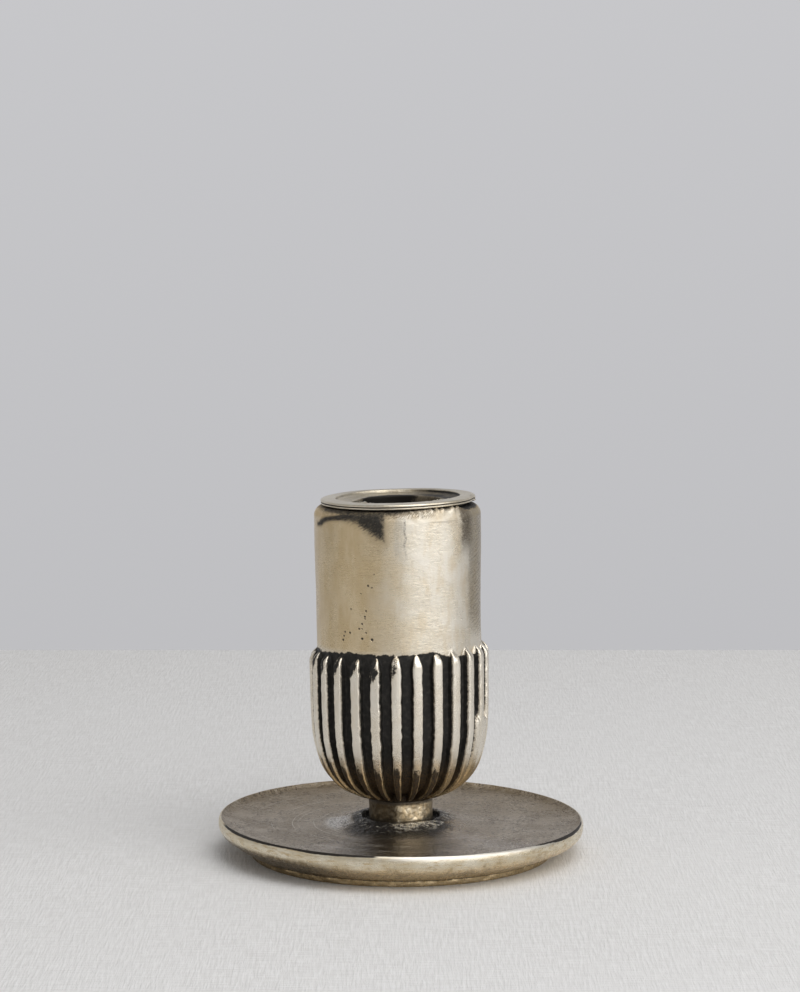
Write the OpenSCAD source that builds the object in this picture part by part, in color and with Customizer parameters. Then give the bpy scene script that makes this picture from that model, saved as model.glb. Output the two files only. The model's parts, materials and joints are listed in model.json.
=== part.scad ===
// Low candlestick: a round drip dish, a short neck collar and a reeded cup
// that carries a lift-out candle socket, held together by a hidden tie stud.
// +Z is up and the origin is the centre of the foot, on the table.

/* [Drip dish] */
// Outside diameter of the dish, over the rolled lip
dish_d = 90; // [86:1:100]
// Height of the lip's crest above the table
lip_z = 8.95; // [8.8:0.05:9.3]
// Width of the rolled lip
lip_w = 2.5; // [2.2:0.1:3]
// Outside diameter of the foot ring
foot_d = 74.4; // [70:0.2:78]
// Height of the foot ring below the flared underside
foot_h = 1.6; // [1.2:0.1:2]
// Depth of the hollow under the dish
hollow_h = 3.5; // [3:0.1:3.8]
// Height of the boss that surrounds the neck
boss_z = 9.4; // [9.2:0.1:9.8]

/* [Neck] */
// Diameter of the neck collar
neck_d = 15.5; // [14.5:0.1:16]
// Radial gap between the collar and the boss around it
neck_gap = 1.9; // [1.5:0.1:2.4]
// Height of the seat that the collar stands on
seat_z = 8; // [7.8:0.1:8.3]

/* [Reeded cup] */
// Number of reeds round the cup
reed_count = 26; // [20:1:30]
// Share of each pitch that the reed fills
reed_share = 0.46; // [0.35:0.01:0.55]
// Radius over the reeds at the belly
belly_r = 22.05; // [21.8:0.05:22.6]
// Height of the cup's underside
cup_z = 14; // [13.8:0.1:14.4]
// Height at which the reeds have died into the plain sleeve
reed_top = 52; // [51:0.5:55]
// Turn of the first reed about the axis, in degrees
reed_turn = -92.1; // [-100:0.1:-80]

/* [Sleeve] */
// Radius of the plain sleeve just above the reeds
sleeve_r = 20.15; // [20:0.05:20.4]
// Radius of the plain sleeve just under the shoulder
sleeve_top_r = 20.4; // [20.3:0.05:20.8]
// Height of the sleeve's top face
sleeve_z = 86.85; // [84:0.05:92]
// Radius of the cored well that receives the socket
well_r = 15.5; // [15:0.05:16]
// Height of the well's floor
well_z = 26; // [25.5:0.5:32]

/* [Candle socket] */
// Radius of the candle bore, for a 22 mm dinner candle
bore_r = 11.3; // [11.1:0.05:11.6]
// Length of the candle bore below the flared mouth
bore_len = 22.55; // [18:0.05:26]
// Radius of the socket flange
flange_r = 18.73; // [18:0.01:19]
// Thickness of the socket flange
flange_t = 1.38; // [1.3:0.02:1.8]
// Radius of the flared mouth
mouth_r = 15; // [14.5:0.1:15.5]
// Depth of the flared mouth
mouth_h = 1.08; // [0.8:0.02:1.2]

/* [Hidden] */
$fn = 96;
BRASS = [0.78, 0.70, 0.52];
DARK = [0.45, 0.40, 0.33];
STEEL = [0.72, 0.73, 0.74];

dish_r = dish_d / 2;
foot_r = foot_d / 2;
neck_r = neck_d / 2;
recess_r = neck_r + neck_gap;
pocket_r = 9;                   // spanner pocket round the nut
pocket_z = 6;                   // its ceiling, which the washer bears on
stud_r = 2.95;                  // M6 tie stud
clear_r = 3.15;                 // clearance hole for it
stud_foot = 0.5;                // height of its lower end
washer_t = 1;
spring_t = 1.3;
nut_h = 3.2;                    // thin M6 nut
nut_af = 10;
seat_top = sleeve_z + 0.35;     // raised seat that the flange rests on
flange_z = seat_top + 0.05;
top_z = flange_z + flange_t;
bore_top = top_z - mouth_h;
bore_z = bore_top - bore_len;
socket_floor = 2;
tube_r = bore_r + 1.6;
spigot_r = well_r - 0.3;

// Points on an arc about [cx, cz], from angle a0 to a1
function arc(cx, cz, r, a0, a1, n) = [for (i = [0:n]) let (a = a0 + (a1 - a0) * i / n) [cx + r * cos(a), cz + r * sin(a)]];

// Section of the dish, from the neck recess out over the lip and back under the foot
function dish_section() = let (li = dish_r - lip_w) concat(
    [[0, seat_z], [recess_r, seat_z], [recess_r, boss_z - 0.25], [recess_r + 0.25, boss_z], [recess_r + 0.9, boss_z - 0.02]],
    // the mound falls away from the boss to the shallow dished floor
    [for (i = [1:8]) let (t = i / 8) [recess_r + 0.9 + 8 * t, boss_z - 0.02 - 1.98 * (1 - pow(1 - t, 2.1))]],
    [[24, 7.25], [30, 7.2], [36, 7.4], [40, 7.62], [li - 0.5, 7.8], [li, 8.6]],
    arc(li + 1.0, lip_z - 0.8, 0.8, 150, 65, 5),
    arc(dish_r - 1.1, lip_z - 1.1, 1.1, 50, 0, 5),
    [[dish_r - 0.08, 6.7], [dish_r - 0.25, 5.7], [dish_r - 0.6, 5.0], [dish_r - 1.5, 4.45]],
    [[foot_r + 0.9, foot_h], [foot_r, foot_h], [foot_r, 0.3], [foot_r - 0.3, 0]],
    [[foot_r - 3.4, 0], [foot_r - 3.7, 0.3], [foot_r - 4.3, hollow_h]],
    [[pocket_r + 0.3, hollow_h], [pocket_r, hollow_h + 0.3], [pocket_r, pocket_z], [0, pocket_z]]);

module base_dish() {
    color(DARK) difference() {
        rotate_extrude($fn = 180) polygon(dish_section());
        translate([0, 0, pocket_z - 1]) cylinder(r = clear_r, h = seat_z - pocket_z + 2);
    }
}

module neck_collar() {
    color(BRASS) difference() {
        rotate_extrude() polygon([[0, seat_z], [neck_r - 0.4, seat_z], [neck_r, seat_z + 0.4], [neck_r, cup_z - 0.3], [neck_r - 0.3, cup_z], [0, cup_z]]);
        translate([0, 0, seat_z - 1]) cylinder(r = clear_r, h = cup_z - seat_z + 2);
    }
}

// Outline over the reeds: cupped underside, round belly, straight side, and the
// bullet-shaped run-out into the sleeve. Each pair is a height above the cup's underside and a step in from the belly.
function reed_outline() = [for (p = [
    [0.2, 13.3], [0.6, 12.3], [2, 8.55], [3, 6.7], [4, 5.15], [6, 4.15], [8, 2.65], [10, 1.85],
    [13, 0.95], [16, 0.3], [22, 0.1], [28, 0], [31, 0.05], [34, 0.45], [36, 1.05]])
    [belly_r - p[1], cup_z + p[0]]];

// Outline of the groove floors, a reed's height inside, running up into the sleeve
function core_outline() = concat(
    [[0, cup_z], [7.4, cup_z], [7.4, cup_z + 1.8]],
    [for (p = [[3.6, 9.85], [5.2, 6.85], [7, 5.15], [9, 3.85], [12, 2.85], [16, 2.2], [22, 2.0]]) [belly_r - p[1], cup_z + p[0]]],
    [[sleeve_r - 0.05, 48], [sleeve_r, 54], [sleeve_r + 0.05, 64], [sleeve_top_r, sleeve_z - 10], [sleeve_top_r, sleeve_z - 2.6]],
    arc(sleeve_top_r - 2.2, sleeve_z - 2.2, 2.2, 10, 80, 6),
    [[sleeve_top_r - 2.2, sleeve_z], [16.85, sleeve_z], [16.75, seat_top], [0, seat_top]]);

// One reed: a thin sector of the outline, rooted in the core
module reed(a) {
    w = 360 / reed_count * reed_share;
    rotate([0, 0, a - w / 2]) rotate_extrude(angle = w, $fn = 180)
        polygon(concat(reed_outline(), [[sleeve_r - 0.4, reed_top], [19, reed_top], [19, 34], [15, 23], [10.5, 18.6], [6.6, 15.6], [6.6, cup_z + 0.2]]));
}

module fluted_body() {
    color(BRASS) difference() {
        union() {
            rotate_extrude($fn = 180) polygon(core_outline());
            for (i = [0:reed_count - 1]) reed(reed_turn + i * 360 / reed_count);
        }
        translate([0, 0, well_z]) cylinder(r = well_r, h = seat_top - well_z + 1, $fn = 180);
        translate([0, 0, cup_z - 1]) cylinder(r = stud_r + 0.05, h = 11.5);
    }
}

module candle_socket() {
    color(BRASS) difference() {
        rotate_extrude($fn = 128) polygon(concat(
            [[0, bore_z - socket_floor], [tube_r - 0.6, bore_z - socket_floor], [tube_r, bore_z - socket_floor + 0.6], [tube_r, seat_top - 3.9],
             [spigot_r - 0.3, seat_top - 3.6], [spigot_r, seat_top - 3.3], [spigot_r, flange_z], [flange_r - 0.2, flange_z]],
            arc(flange_r - 0.35, flange_z + 0.4, 0.35, -50, 0, 3),
            arc(flange_r - 0.45, top_z - 0.45, 0.45, 0, 90, 4),
            [[mouth_r + 0.3, top_z]],
            // flared, slightly hollow mouth running down into the bore
            [for (i = [0:6]) let (s = i / 6) [mouth_r - (mouth_r - bore_r) * s, top_z - 0.08 - (mouth_h - 0.08) * (1 - pow(1 - s, 1.6))]],
            [[bore_r - 1, bore_top], [0, bore_top]]));
        translate([0, 0, bore_z]) cylinder(r = bore_r, h = bore_len + 5, $fn = 128);
    }
}

module tie_stud() {
    color(STEEL) rotate_extrude($fn = 48)
        polygon([[0, stud_foot], [stud_r - 0.5, stud_foot], [stud_r, stud_foot + 0.5], [stud_r, 23.5], [stud_r - 0.5, 24], [0, 24]]);
}

module hex_nut() {
    z = pocket_z - washer_t - spring_t - nut_h;
    rc = nut_af / 2 / cos(30);
    color(STEEL) difference() {
        intersection() {
            translate([0, 0, z]) cylinder(r = rc, h = nut_h, $fn = 6);
            rotate_extrude() polygon([[0, z], [nut_af / 2, z], [rc + 0.1, z + 0.4], [rc + 0.1, z + nut_h - 0.4], [nut_af / 2, z + nut_h], [0, z + nut_h]]);
        }
        translate([0, 0, z - 1]) cylinder(r = stud_r + 0.05, h = nut_h + 2);
    }
}

module flat_washer() {
    color(STEEL) translate([0, 0, pocket_z - washer_t]) difference() {
        cylinder(r = 6, h = washer_t);
        translate([0, 0, -1]) cylinder(r = 3.2, h = washer_t + 2);
    }
}

// Split lock washer, pressed flat
module spring_washer() {
    z = pocket_z - washer_t - spring_t;
    color(STEEL) rotate([0, 0, 20]) rotate_extrude(angle = 352, $fn = 96)
        translate([3.15, z]) square([2.3, spring_t]);
}

base_dish();
neck_collar();
fluted_body();
candle_socket();
tie_stud();
hex_nut();
flat_washer();
spring_washer();
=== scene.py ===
import json
import math

import bpy
import numpy as np
from mathutils import Matrix, Vector


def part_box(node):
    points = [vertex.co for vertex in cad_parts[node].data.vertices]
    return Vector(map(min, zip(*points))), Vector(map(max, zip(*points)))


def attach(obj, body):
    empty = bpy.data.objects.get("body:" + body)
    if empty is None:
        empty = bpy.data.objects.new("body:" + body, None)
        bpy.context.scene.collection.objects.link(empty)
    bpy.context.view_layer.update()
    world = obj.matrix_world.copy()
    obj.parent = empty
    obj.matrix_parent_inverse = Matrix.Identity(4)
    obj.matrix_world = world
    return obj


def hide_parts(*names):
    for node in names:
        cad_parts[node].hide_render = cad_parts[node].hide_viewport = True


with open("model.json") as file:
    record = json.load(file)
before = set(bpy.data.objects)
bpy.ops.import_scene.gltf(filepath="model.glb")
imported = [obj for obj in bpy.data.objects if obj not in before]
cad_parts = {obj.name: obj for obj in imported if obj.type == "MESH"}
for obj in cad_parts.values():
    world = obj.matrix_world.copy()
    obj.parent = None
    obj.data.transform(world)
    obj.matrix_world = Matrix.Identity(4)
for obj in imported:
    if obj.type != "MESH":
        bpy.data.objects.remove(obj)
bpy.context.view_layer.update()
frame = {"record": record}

# ------------------------------------------------------------------ sizes, in mm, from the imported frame
def box_mm(node):
    lo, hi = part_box(node)
    return np.array(lo) * 1000, np.array(hi) * 1000

DISH_LO, DISH_HI = box_mm("base_dish")
NECK_LO, NECK_HI = box_mm("neck_collar")
BODY_LO, BODY_HI = box_mm("fluted_body")
SOCK_LO, SOCK_HI = box_mm("candle_socket")
STUD_LO, STUD_HI = box_mm("tie_stud")
NUT_LO, NUT_HI = box_mm("hex_nut")
WASH_LO, WASH_HI = box_mm("flat_washer")
SPRG_LO, SPRG_HI = box_mm("spring_washer")
BORE_R = next(m for m in frame["record"]["mounts"] if m["name"] == "candle_bore")["dims"]["r_mm"]

DISH_R = DISH_HI[0]
CUP_Z = BODY_LO[2]
SEAT_TOP = BODY_HI[2]
TOP_Z = SOCK_HI[2]
NECK_R = NECK_HI[0]
REEDS = 26
PITCH = 360.0 / REEDS
REED_0 = -2.1          # the first reed stands just left of the front

# the cup was bolted up a little out of true: it leans to the left, and the socket sits a little askew in it
LEAN = math.radians(0.72)
SOCK_TILT = math.radians(0.95)


# ------------------------------------------------------------------ numbers
def lattice(ix, iy, iz, seed):
    with np.errstate(over="ignore"):
        h = (ix.astype(np.uint32) * np.uint32(374761393) + iy.astype(np.uint32) * np.uint32(668265263)
             + iz.astype(np.uint32) * np.uint32(2246822519) + np.uint32((seed * 3266489917) & 0xFFFFFFFF))
        h = (h ^ (h >> np.uint32(13))) * np.uint32(1274126177)
        h = h ^ (h >> np.uint32(16))
    return h.astype(np.float64) / 4294967295.0 * 2 - 1


def vnoise(x, y, z, seed=0):
    """Smooth lattice noise in -1..1."""
    x, y, z = np.broadcast_arrays(np.asarray(x, float), np.asarray(y, float), np.asarray(z, float))
    fx, fy, fz = np.floor(x), np.floor(y), np.floor(z)
    ux, uy, uz = x - fx, y - fy, z - fz
    ux, uy, uz = (t * t * (3 - 2 * t) for t in (ux, uy, uz))
    ix, iy, iz = fx.astype(np.int64), fy.astype(np.int64), fz.astype(np.int64)
    out = 0
    for dx in (0, 1):
        for dy in (0, 1):
            for dz in (0, 1):
                w = (ux if dx else 1 - ux) * (uy if dy else 1 - uy) * (uz if dz else 1 - uz)
                out = out + w * lattice(ix + dx, iy + dy, iz + dz, seed)
    return out


def fbm(x, y, z, seed=0, octaves=3):
    out, a, s = 0, 1.0, 1.0
    for i in range(octaves):
        out = out + a * vnoise(np.asarray(x) * s, np.asarray(y) * s, np.asarray(z) * s, seed + 17 * i)
        a, s = a * 0.5, s * 2.03
    return out / 1.75


def step(a, b, x):
    t = np.clip((np.asarray(x, float) - a) / (b - a), 0, 1)
    return t * t * (3 - 2 * t)


def spline(pts, n):
    """n points evenly spaced along a smooth curve through pts."""
    p = np.array(pts, float)
    p = np.vstack([2 * p[0] - p[1], p, 2 * p[-1] - p[-2]])
    out = []
    for i in range(1, len(p) - 2):
        p0, p1, p2, p3 = p[i - 1:i + 3]
        t = np.linspace(0, 1, 24, endpoint=False)[:, None]
        d1 = max(np.linalg.norm(p2 - p1), 1e-9)
        m1 = (p2 - p0) / (np.linalg.norm(p2 - p1) + np.linalg.norm(p1 - p0)) * d1
        m2 = (p3 - p1) / (np.linalg.norm(p3 - p2) + np.linalg.norm(p2 - p1)) * d1
        out.append((2 * t**3 - 3 * t**2 + 1) * p1 + (t**3 - 2 * t**2 + t) * m1 + (-2 * t**3 + 3 * t**2) * p2 + (t**3 - t**2) * m2)
    q = np.vstack(out + [p[-2:-1]])
    return even(q, n)


def even(q, n):
    q = np.array(q, float)
    s = np.concatenate([[0], np.cumsum(np.linalg.norm(np.diff(q, axis=0), axis=1))])
    t = np.linspace(0, s[-1], n)
    return np.stack([np.interp(t, s, q[:, 0]), np.interp(t, s, q[:, 1])], 1)


def path(*parts):
    """Joins (r, z) runs and drops repeated points."""
    out = []
    for part in parts:
        for p in np.atleast_2d(np.array(part, float)):
            if not out or np.hypot(*(p - out[-1])) > 1e-5:
                out.append(p)
    return np.array(out)


def arc(cr, cz, r, a0, a1, n):
    a = np.radians(np.linspace(a0, a1, n))
    return np.stack([cr + r * np.cos(a), cz + r * np.sin(a)], 1)


def ring(r, z, phi):
    """Points at angles phi in degrees, measured from the front (-Y) towards +X."""
    a = np.radians(phi)
    r, z, a = np.broadcast_arrays(r, z, a)
    return np.stack([r * np.sin(a), -r * np.cos(a), z], 1)


# ------------------------------------------------------------------ meshes
def skin(name, rings, loop=False, attrs=None, sharp=38):
    """A closed mesh over rings of points. A ring may be a whole fraction of its neighbour, or one point."""
    start, verts = [], []
    n0 = 0
    for q in rings:
        start.append(n0)
        verts.append(q)
        n0 += len(q)
    v = np.vstack(verts)
    faces = []
    pairs = [(i, i + 1) for i in range(len(rings) - 1)] + ([(len(rings) - 1, 0)] if loop else [])
    for i, j in pairs:
        a, b, n, m = start[i], start[j], len(rings[i]), len(rings[j])
        if n == m:
            k = np.arange(n)
            k2 = (k + 1) % n
            faces.extend(np.stack([a + k, a + k2, b + k2, b + k], 1).tolist())
        elif n == 1:
            faces.extend([[a, b + (k + 1) % m, b + k] for k in range(m)])
        elif m == 1:
            faces.extend([[b, a + k, a + (k + 1) % n] for k in range(n)])
        elif n > m:
            s = n // m
            faces.extend([[a + (k * s + t) % n for t in range(s + 1)] + [b + (k + 1) % m, b + k] for k in range(m)])
        else:
            s = m // n
            faces.extend([[b + (k * s + t) % m for t in range(s, -1, -1)] + [a + k, a + (k + 1) % n] for k in range(n)])
    me = bpy.data.meshes.new(name)
    me.from_pydata((v * 0.001).tolist(), [], faces)
    me.update()
    # outward faces
    me.calc_loop_triangles()
    tri = np.array([t.vertices[:] for t in me.loop_triangles])
    vol = np.einsum("ij,ij->i", v[tri[:, 0]], np.cross(v[tri[:, 1]], v[tri[:, 2]])).sum()
    if vol < 0:
        me.flip_normals()
    for key, val in (attrs or {}).items():
        at = me.attributes.new(key, "FLOAT", "POINT")
        at.data.foreach_set("value", np.concatenate([np.broadcast_to(x, len(q)) for x, q in zip(val, rings)]).astype(np.float32))
    me.shade_smooth()
    me.set_sharp_from_angle(angle=math.radians(sharp))
    ob = bpy.data.objects.new(name, me)
    bpy.context.scene.collection.objects.link(ob)
    return ob


def lean_about(ob, z_mm, angle, extra=None):
    """Turns a mesh about the Y axis through height z_mm. A positive angle tips the top to the left."""
    m = Matrix.Translation((0, 0, z_mm / 1000)) @ Matrix.Rotation(-angle, 4, "Y") @ Matrix.Translation((0, 0, -z_mm / 1000))
    if extra is not None:
        m = m @ extra
    ob.data.transform(m)
    ob.data.update()


# ------------------------------------------------------------------ shader building
class Mat:
    def __init__(self, name):
        self.m = bpy.data.materials.new(name)
        self.m.use_nodes = True
        self.t = self.m.node_tree
        self.t.nodes.clear()
        out = self.t.nodes.new("ShaderNodeOutputMaterial")
        self.b = self.t.nodes.new("ShaderNodeBsdfPrincipled")
        self.t.links.new(self.b.outputs[0], out.inputs["Surface"])
        tc = self.t.nodes.new("ShaderNodeTexCoord")
        self.P = self.v("MULTIPLY", tc.outputs["Object"], (1000, 1000, 1000))
        sep = self.t.nodes.new("ShaderNodeSeparateXYZ")
        self.t.links.new(self.P, sep.inputs[0])
        self.x, self.y, self.z = sep.outputs

    def put(self, x, sock):
        if isinstance(x, bpy.types.NodeSocket):
            self.t.links.new(x, sock)
        elif x is not None:
            if hasattr(sock.default_value, "__len__") and len(sock.default_value) == 4 and len(x) == 3:
                x = (*x, 1)
            sock.default_value = x

    def f(self, op, a, b=None, c=None, clamp=False):
        n = self.t.nodes.new("ShaderNodeMath")
        n.operation = op
        n.use_clamp = clamp
        for x, s in zip((a, b, c), n.inputs):
            self.put(x, s)
        return n.outputs[0]

    def v(self, op, a, b=None, scale=None):
        n = self.t.nodes.new("ShaderNodeVectorMath")
        n.operation = op
        self.put(a, n.inputs[0])
        self.put(b, n.inputs[1])
        if scale is not None:
            self.put(scale, n.inputs["Scale"])
        return n.outputs["Value"] if op in ("LENGTH", "DISTANCE", "DOT_PRODUCT") else n.outputs["Vector"]

    def vec(self, x, y, z):
        n = self.t.nodes.new("ShaderNodeCombineXYZ")
        for a, s in zip((x, y, z), n.inputs):
            self.put(a, s)
        return n.outputs[0]

    def noise(self, vec, scale=1.0, detail=3.0, rough=0.55, dist=0.0):
        n = self.t.nodes.new("ShaderNodeTexNoise")
        self.put(vec, n.inputs["Vector"])
        n.inputs["Scale"].default_value = scale
        n.inputs["Detail"].default_value = detail
        n.inputs["Roughness"].default_value = rough
        n.inputs["Distortion"].default_value = dist
        return n.outputs[0]

    def cells(self, vec, scale=1.0, rand=1.0, feature="F1"):
        n = self.t.nodes.new("ShaderNodeTexVoronoi")
        n.feature = feature
        self.put(vec, n.inputs["Vector"])
        n.inputs["Scale"].default_value = scale
        n.inputs["Randomness"].default_value = rand
        return n.outputs["Distance"]

    def ramp(self, x, a, b, lo=0.0, hi=1.0, smooth=True):
        n = self.t.nodes.new("ShaderNodeMapRange")
        n.interpolation_type = "SMOOTHSTEP" if smooth else "LINEAR"
        n.clamp = True
        for val, key in ((x, 0), (a, 1), (b, 2), (lo, 3), (hi, 4)):
            self.put(val, n.inputs[key])
        return n.outputs[0]

    def mix(self, fac, a, b, kind="MIX"):
        n = self.t.nodes.new("ShaderNodeMix")
        n.data_type = "RGBA"
        n.blend_type = kind
        self.put(fac, n.inputs[0])
        self.put(a, n.inputs[6])
        self.put(b, n.inputs[7])
        return n.outputs[2]

    def lerp(self, fac, a, b):
        n = self.t.nodes.new("ShaderNodeMix")
        n.data_type = "FLOAT"
        self.put(fac, n.inputs[0])
        self.put(a, n.inputs[2])
        self.put(b, n.inputs[3])
        return n.outputs[0]

    def attr(self, name):
        n = self.t.nodes.new("ShaderNodeAttribute")
        n.attribute_name = name
        return n.outputs["Fac"]

    def bump(self, height, mm, normal=None, strength=1.0):
        n = self.t.nodes.new("ShaderNodeBump")
        n.inputs["Strength"].default_value = strength
        n.inputs["Distance"].default_value = mm * 0.001
        self.put(height, n.inputs["Height"])
        if normal is not None:
            self.put(normal, n.inputs["Normal"])
        return n.outputs[0]

    def upright(self):
        """Object coordinates with the lean of the cup taken out again."""
        dz = self.f("SUBTRACT", self.z, CUP_Z)
        x = self.f("ADD", self.x, self.f("MULTIPLY", dz, math.sin(LEAN)))
        z = self.f("SUBTRACT", self.z, self.f("MULTIPLY", self.x, math.sin(LEAN)))
        self.P = self.vec(x, self.y, z)
        self.x, self.z = x, z

    def table(self, x, pts):
        """A smooth curve through (x, y) pairs."""
        x0, x1 = pts[0][0], pts[-1][0]
        y0, y1 = min(p[1] for p in pts), max(p[1] for p in pts)
        n = self.t.nodes.new("ShaderNodeFloatCurve")
        c = n.mapping.curves[0]
        uv = [((a - x0) / (x1 - x0), (b - y0) / (y1 - y0)) for a, b in pts]
        c.points[0].location, c.points[-1].location = uv[0], uv[-1]
        for q in uv[1:-1]:
            c.points.new(*q)
        n.mapping.update()
        self.put(self.ramp(x, x0, x1, smooth=False), n.inputs["Value"])
        return self.f("MULTIPLY_ADD", n.outputs[0], y1 - y0, y0)

    def both(self, *masks):
        out = masks[0]
        for m in masks[1:]:
            out = self.f("MULTIPLY", out, m)
        return out

    def phi(self):
        """Degrees round the axis from the front, positive to the right."""
        return self.f("MULTIPLY", self.f("ARCTAN2", self.x, self.f("MULTIPLY", self.y, -1)), 57.29578)

    def radius(self):
        return self.v("LENGTH", self.vec(self.x, self.y, 0))

    def stretch(self, sx, sy, sz):
        return self.v("MULTIPLY", self.P, (sx, sy, sz))

    def finish(self, color=None, rough=None, metal=None, normal=None, **const):
        if color is not None:
            self.put(color, self.b.inputs["Base Color"])
        if rough is not None:
            self.put(rough, self.b.inputs["Roughness"])
        if metal is not None:
            self.put(metal, self.b.inputs["Metallic"])
        if normal is not None:
            self.put(normal, self.b.inputs["Normal"])
        for k, val in const.items():
            self.b.inputs[k.replace("_", " ")].default_value = val
        return self.m


def use(ob, mat, body, node):
    ob.data.materials.append(mat)
    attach(ob, body)
    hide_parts(node)
    return ob


# ------------------------------------------------------------------ reeded cup and sleeve
def black_top(a, z):
    """Height of the ragged line where the black in the grooves ends, at a degrees from the front."""
    lim = np.interp(a, [-180, -95, -60, -35, -13, 0, 12, 22, 31, 40, 52, 66, 90, 130, 180], [51.7, 51.5, 51.7, 52.5, 52.2, 52.1, 52.3, 52.9, 52.0, 50.9, 50.6, 50.7, 51.0, 51.5, 51.7])
    return lim - 14 + CUP_Z + fbm(a / 1.9, z / 1.3, 4.4, 29) * 0.75 + vnoise(a / 7.0, z / 3.0, 1.4, 31) * 0.35


def make_body():
    # section over the reeds, bottom to top (r, z)
    low = spline([(8.1, CUP_Z + 0.2), (9.3, CUP_Z + 0.32), (11.2, CUP_Z + 0.9), (13.6, CUP_Z + 2), (15.3, CUP_Z + 3.1), (16.7, CUP_Z + 4.3),
                  (18.2, CUP_Z + 6.1), (19.4, CUP_Z + 8.2), (20.25, CUP_Z + 10.4), (21.1, CUP_Z + 13.6), (21.65, CUP_Z + 17), (21.95, CUP_Z + 22),
                  (22.05, CUP_Z + 28), (22.08, CUP_Z + 34), (22.08, CUP_Z + 40)], 400)
    # denser rows where the surface turns under
    top = low[low[:, 1] < CUP_Z + 38.6]
    top = even(top, 106)
    d = np.gradient(top, axis=0)
    d /= np.linalg.norm(d, axis=1)[:, None]
    nin = np.stack([-d[:, 1], d[:, 0]], 1)                    # inward, up under the cup
    depth = 2.0
    floor = top + nin * depth
    floor[:, 0] = np.minimum(floor[:, 0], 20.13)
    floor[:, 0] = np.maximum(floor[:, 0], 7.4)
    floor = np.where((top[:, 1] > CUP_Z + 20)[:, None], np.stack([np.interp(top[:, 1], [CUP_Z + 20, CUP_Z + 34], [20.02, 20.13]), top[:, 1]], 1), floor)
    blend = step(CUP_Z + 14, CUP_Z + 20, top[:, 1])[:, None]
    raw = top + nin * depth
    floor = np.where((top[:, 1] < CUP_Z + 20)[:, None], raw * (1 - blend) + blend * np.stack([np.interp(top[:, 1], [CUP_Z + 20, CUP_Z + 34], [20.02, 20.13]), top[:, 1]], 1), floor)
    floor[:, 0] = np.maximum(floor[:, 0], 7.4)
    floor = np.vstack([[7.4, CUP_Z + 0.9], [7.4, CUP_Z + 1.6], floor])
    top = np.vstack([[7.45, CUP_Z + 0.16], [7.75, CUP_Z + 0.17], top])

    half = [0.0, 0.05, 0.10, 0.15, 0.19, 0.215, 0.235, 0.255, 0.275, 0.30, 0.345, 0.42]
    frac = np.array([-f for f in half[:0:-1]] + half + [0.5])
    hgt = {0.0: 1, 0.05: 0.998, 0.10: 0.99, 0.15: 0.975, 0.19: 0.93, 0.215: 0.80, 0.235: 0.52, 0.255: 0.24, 0.275: 0.08, 0.30: 0.015, 0.345: 0, 0.42: 0, 0.5: 0}
    h0 = np.array([hgt[round(abs(f), 3)] for f in frac])
    nf = len(frac)                                           # 24
    k = np.repeat(np.arange(REEDS), nf)
    f = np.tile(frac, REEDS)
    hh = np.tile(h0, REEDS)
    centre = REED_0 + k * PITCH
    rnd = lambda s, a=0.0, b=1.0: a + (b - a) * (lattice(np.arange(REEDS), np.zeros(REEDS, int), np.zeros(REEDS, int), s) * 0.5 + 0.5)
    jit = rnd(3, -0.35, 0.35)[k]
    tip = rnd(5, -0.40, 0.15)[k]
    wid = rnd(7, 0.93, 1.07)[k]
    side = np.sign(f)
    rings, pat, rel = [], [], []
    wrap = lambda p: (p + 180) % 360 - 180
    for i in range(len(top)):
        z = top[i, 1]
        s = i * 0.42
        # hand-filed edges: each side of a reed wanders on its own
        edge = fbm(s / 3.1, k * 3.7 + side * 1.3, 0.5, 11, 3) * 0.085 + vnoise(s / 0.8, k * 5.1 + side * 2.3, 1.5, 13) * 0.10
        taper = np.interp(z, [CUP_Z, CUP_Z + 3, CUP_Z + 9, CUP_Z + 16], [0.62, 0.80, 0.95, 1.0])
        # run-out at the top: round-nosed, standing a little higher on the right
        below = np.interp(wrap(centre), [-180, -90, -65, -20, 0, 30, 60, 110, 180], [51.6, 51.2, 51.2, 51.6, 52.2, 52.5, 52.5, 52.2, 51.6]) - 14 + CUP_Z + tip - z
        bullet = 1 - (1 - np.clip((below + 0.10) / 2.7, 0, 1)) ** 2.5
        nose = 1 - np.clip((below + 0.15) / 3.3, 0, 1)
        narrow = 0.08 + 0.92 * np.sqrt(1 - nose ** 2)
        w = wid * taper * narrow * (1 + edge * 1.4)
        fin = np.where(np.abs(f) <= 0.30, f * w, np.sign(f) * (0.30 * w + (np.abs(f) - 0.30) / 0.20 * (0.5 - 0.30 * w)))
        fin = np.where(np.abs(f) >= 0.5, f, fin)
        sway = (jit + vnoise(s / 9.0, k * 2.9, 2.5, 17) * 0.22) * (1 - (2 * np.abs(f)) ** 2)
        ph = centre + PITCH * fin + sway
        amt = hh * bullet
        # the grinder ran the reeds together low on the right
        fill = step(57, 63, wrap(ph)) * (1 - step(90, 97, wrap(ph))) * step(CUP_Z + 24.5, CUP_Z + 20.0, z + vnoise(k * 1.3, s / 2.0, 0.2, 25) * 1.6)
        amt = np.maximum(amt, 0.90 * fill * bullet)
        # worn, slightly uneven reed faces and a rough cast groove floor
        wear = fbm(s / 4.0, k * 1.7, f * 2, 19) * 0.07 * hh
        rough = fbm(s / 1.1, ph / 2.2, 3.3, 23) * 0.05 * (1 - hh)
        r = floor[i, 0] + (top[i, 0] - floor[i, 0]) * amt
        zz = floor[i, 1] + (top[i, 1] - floor[i, 1]) * amt
        out = top[i] - floor[i]
        out = out / max(np.hypot(*out), 1e-6)
        r = r + out[0] * (wear + rough)
        zz = zz + out[1] * (wear + rough)
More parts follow.
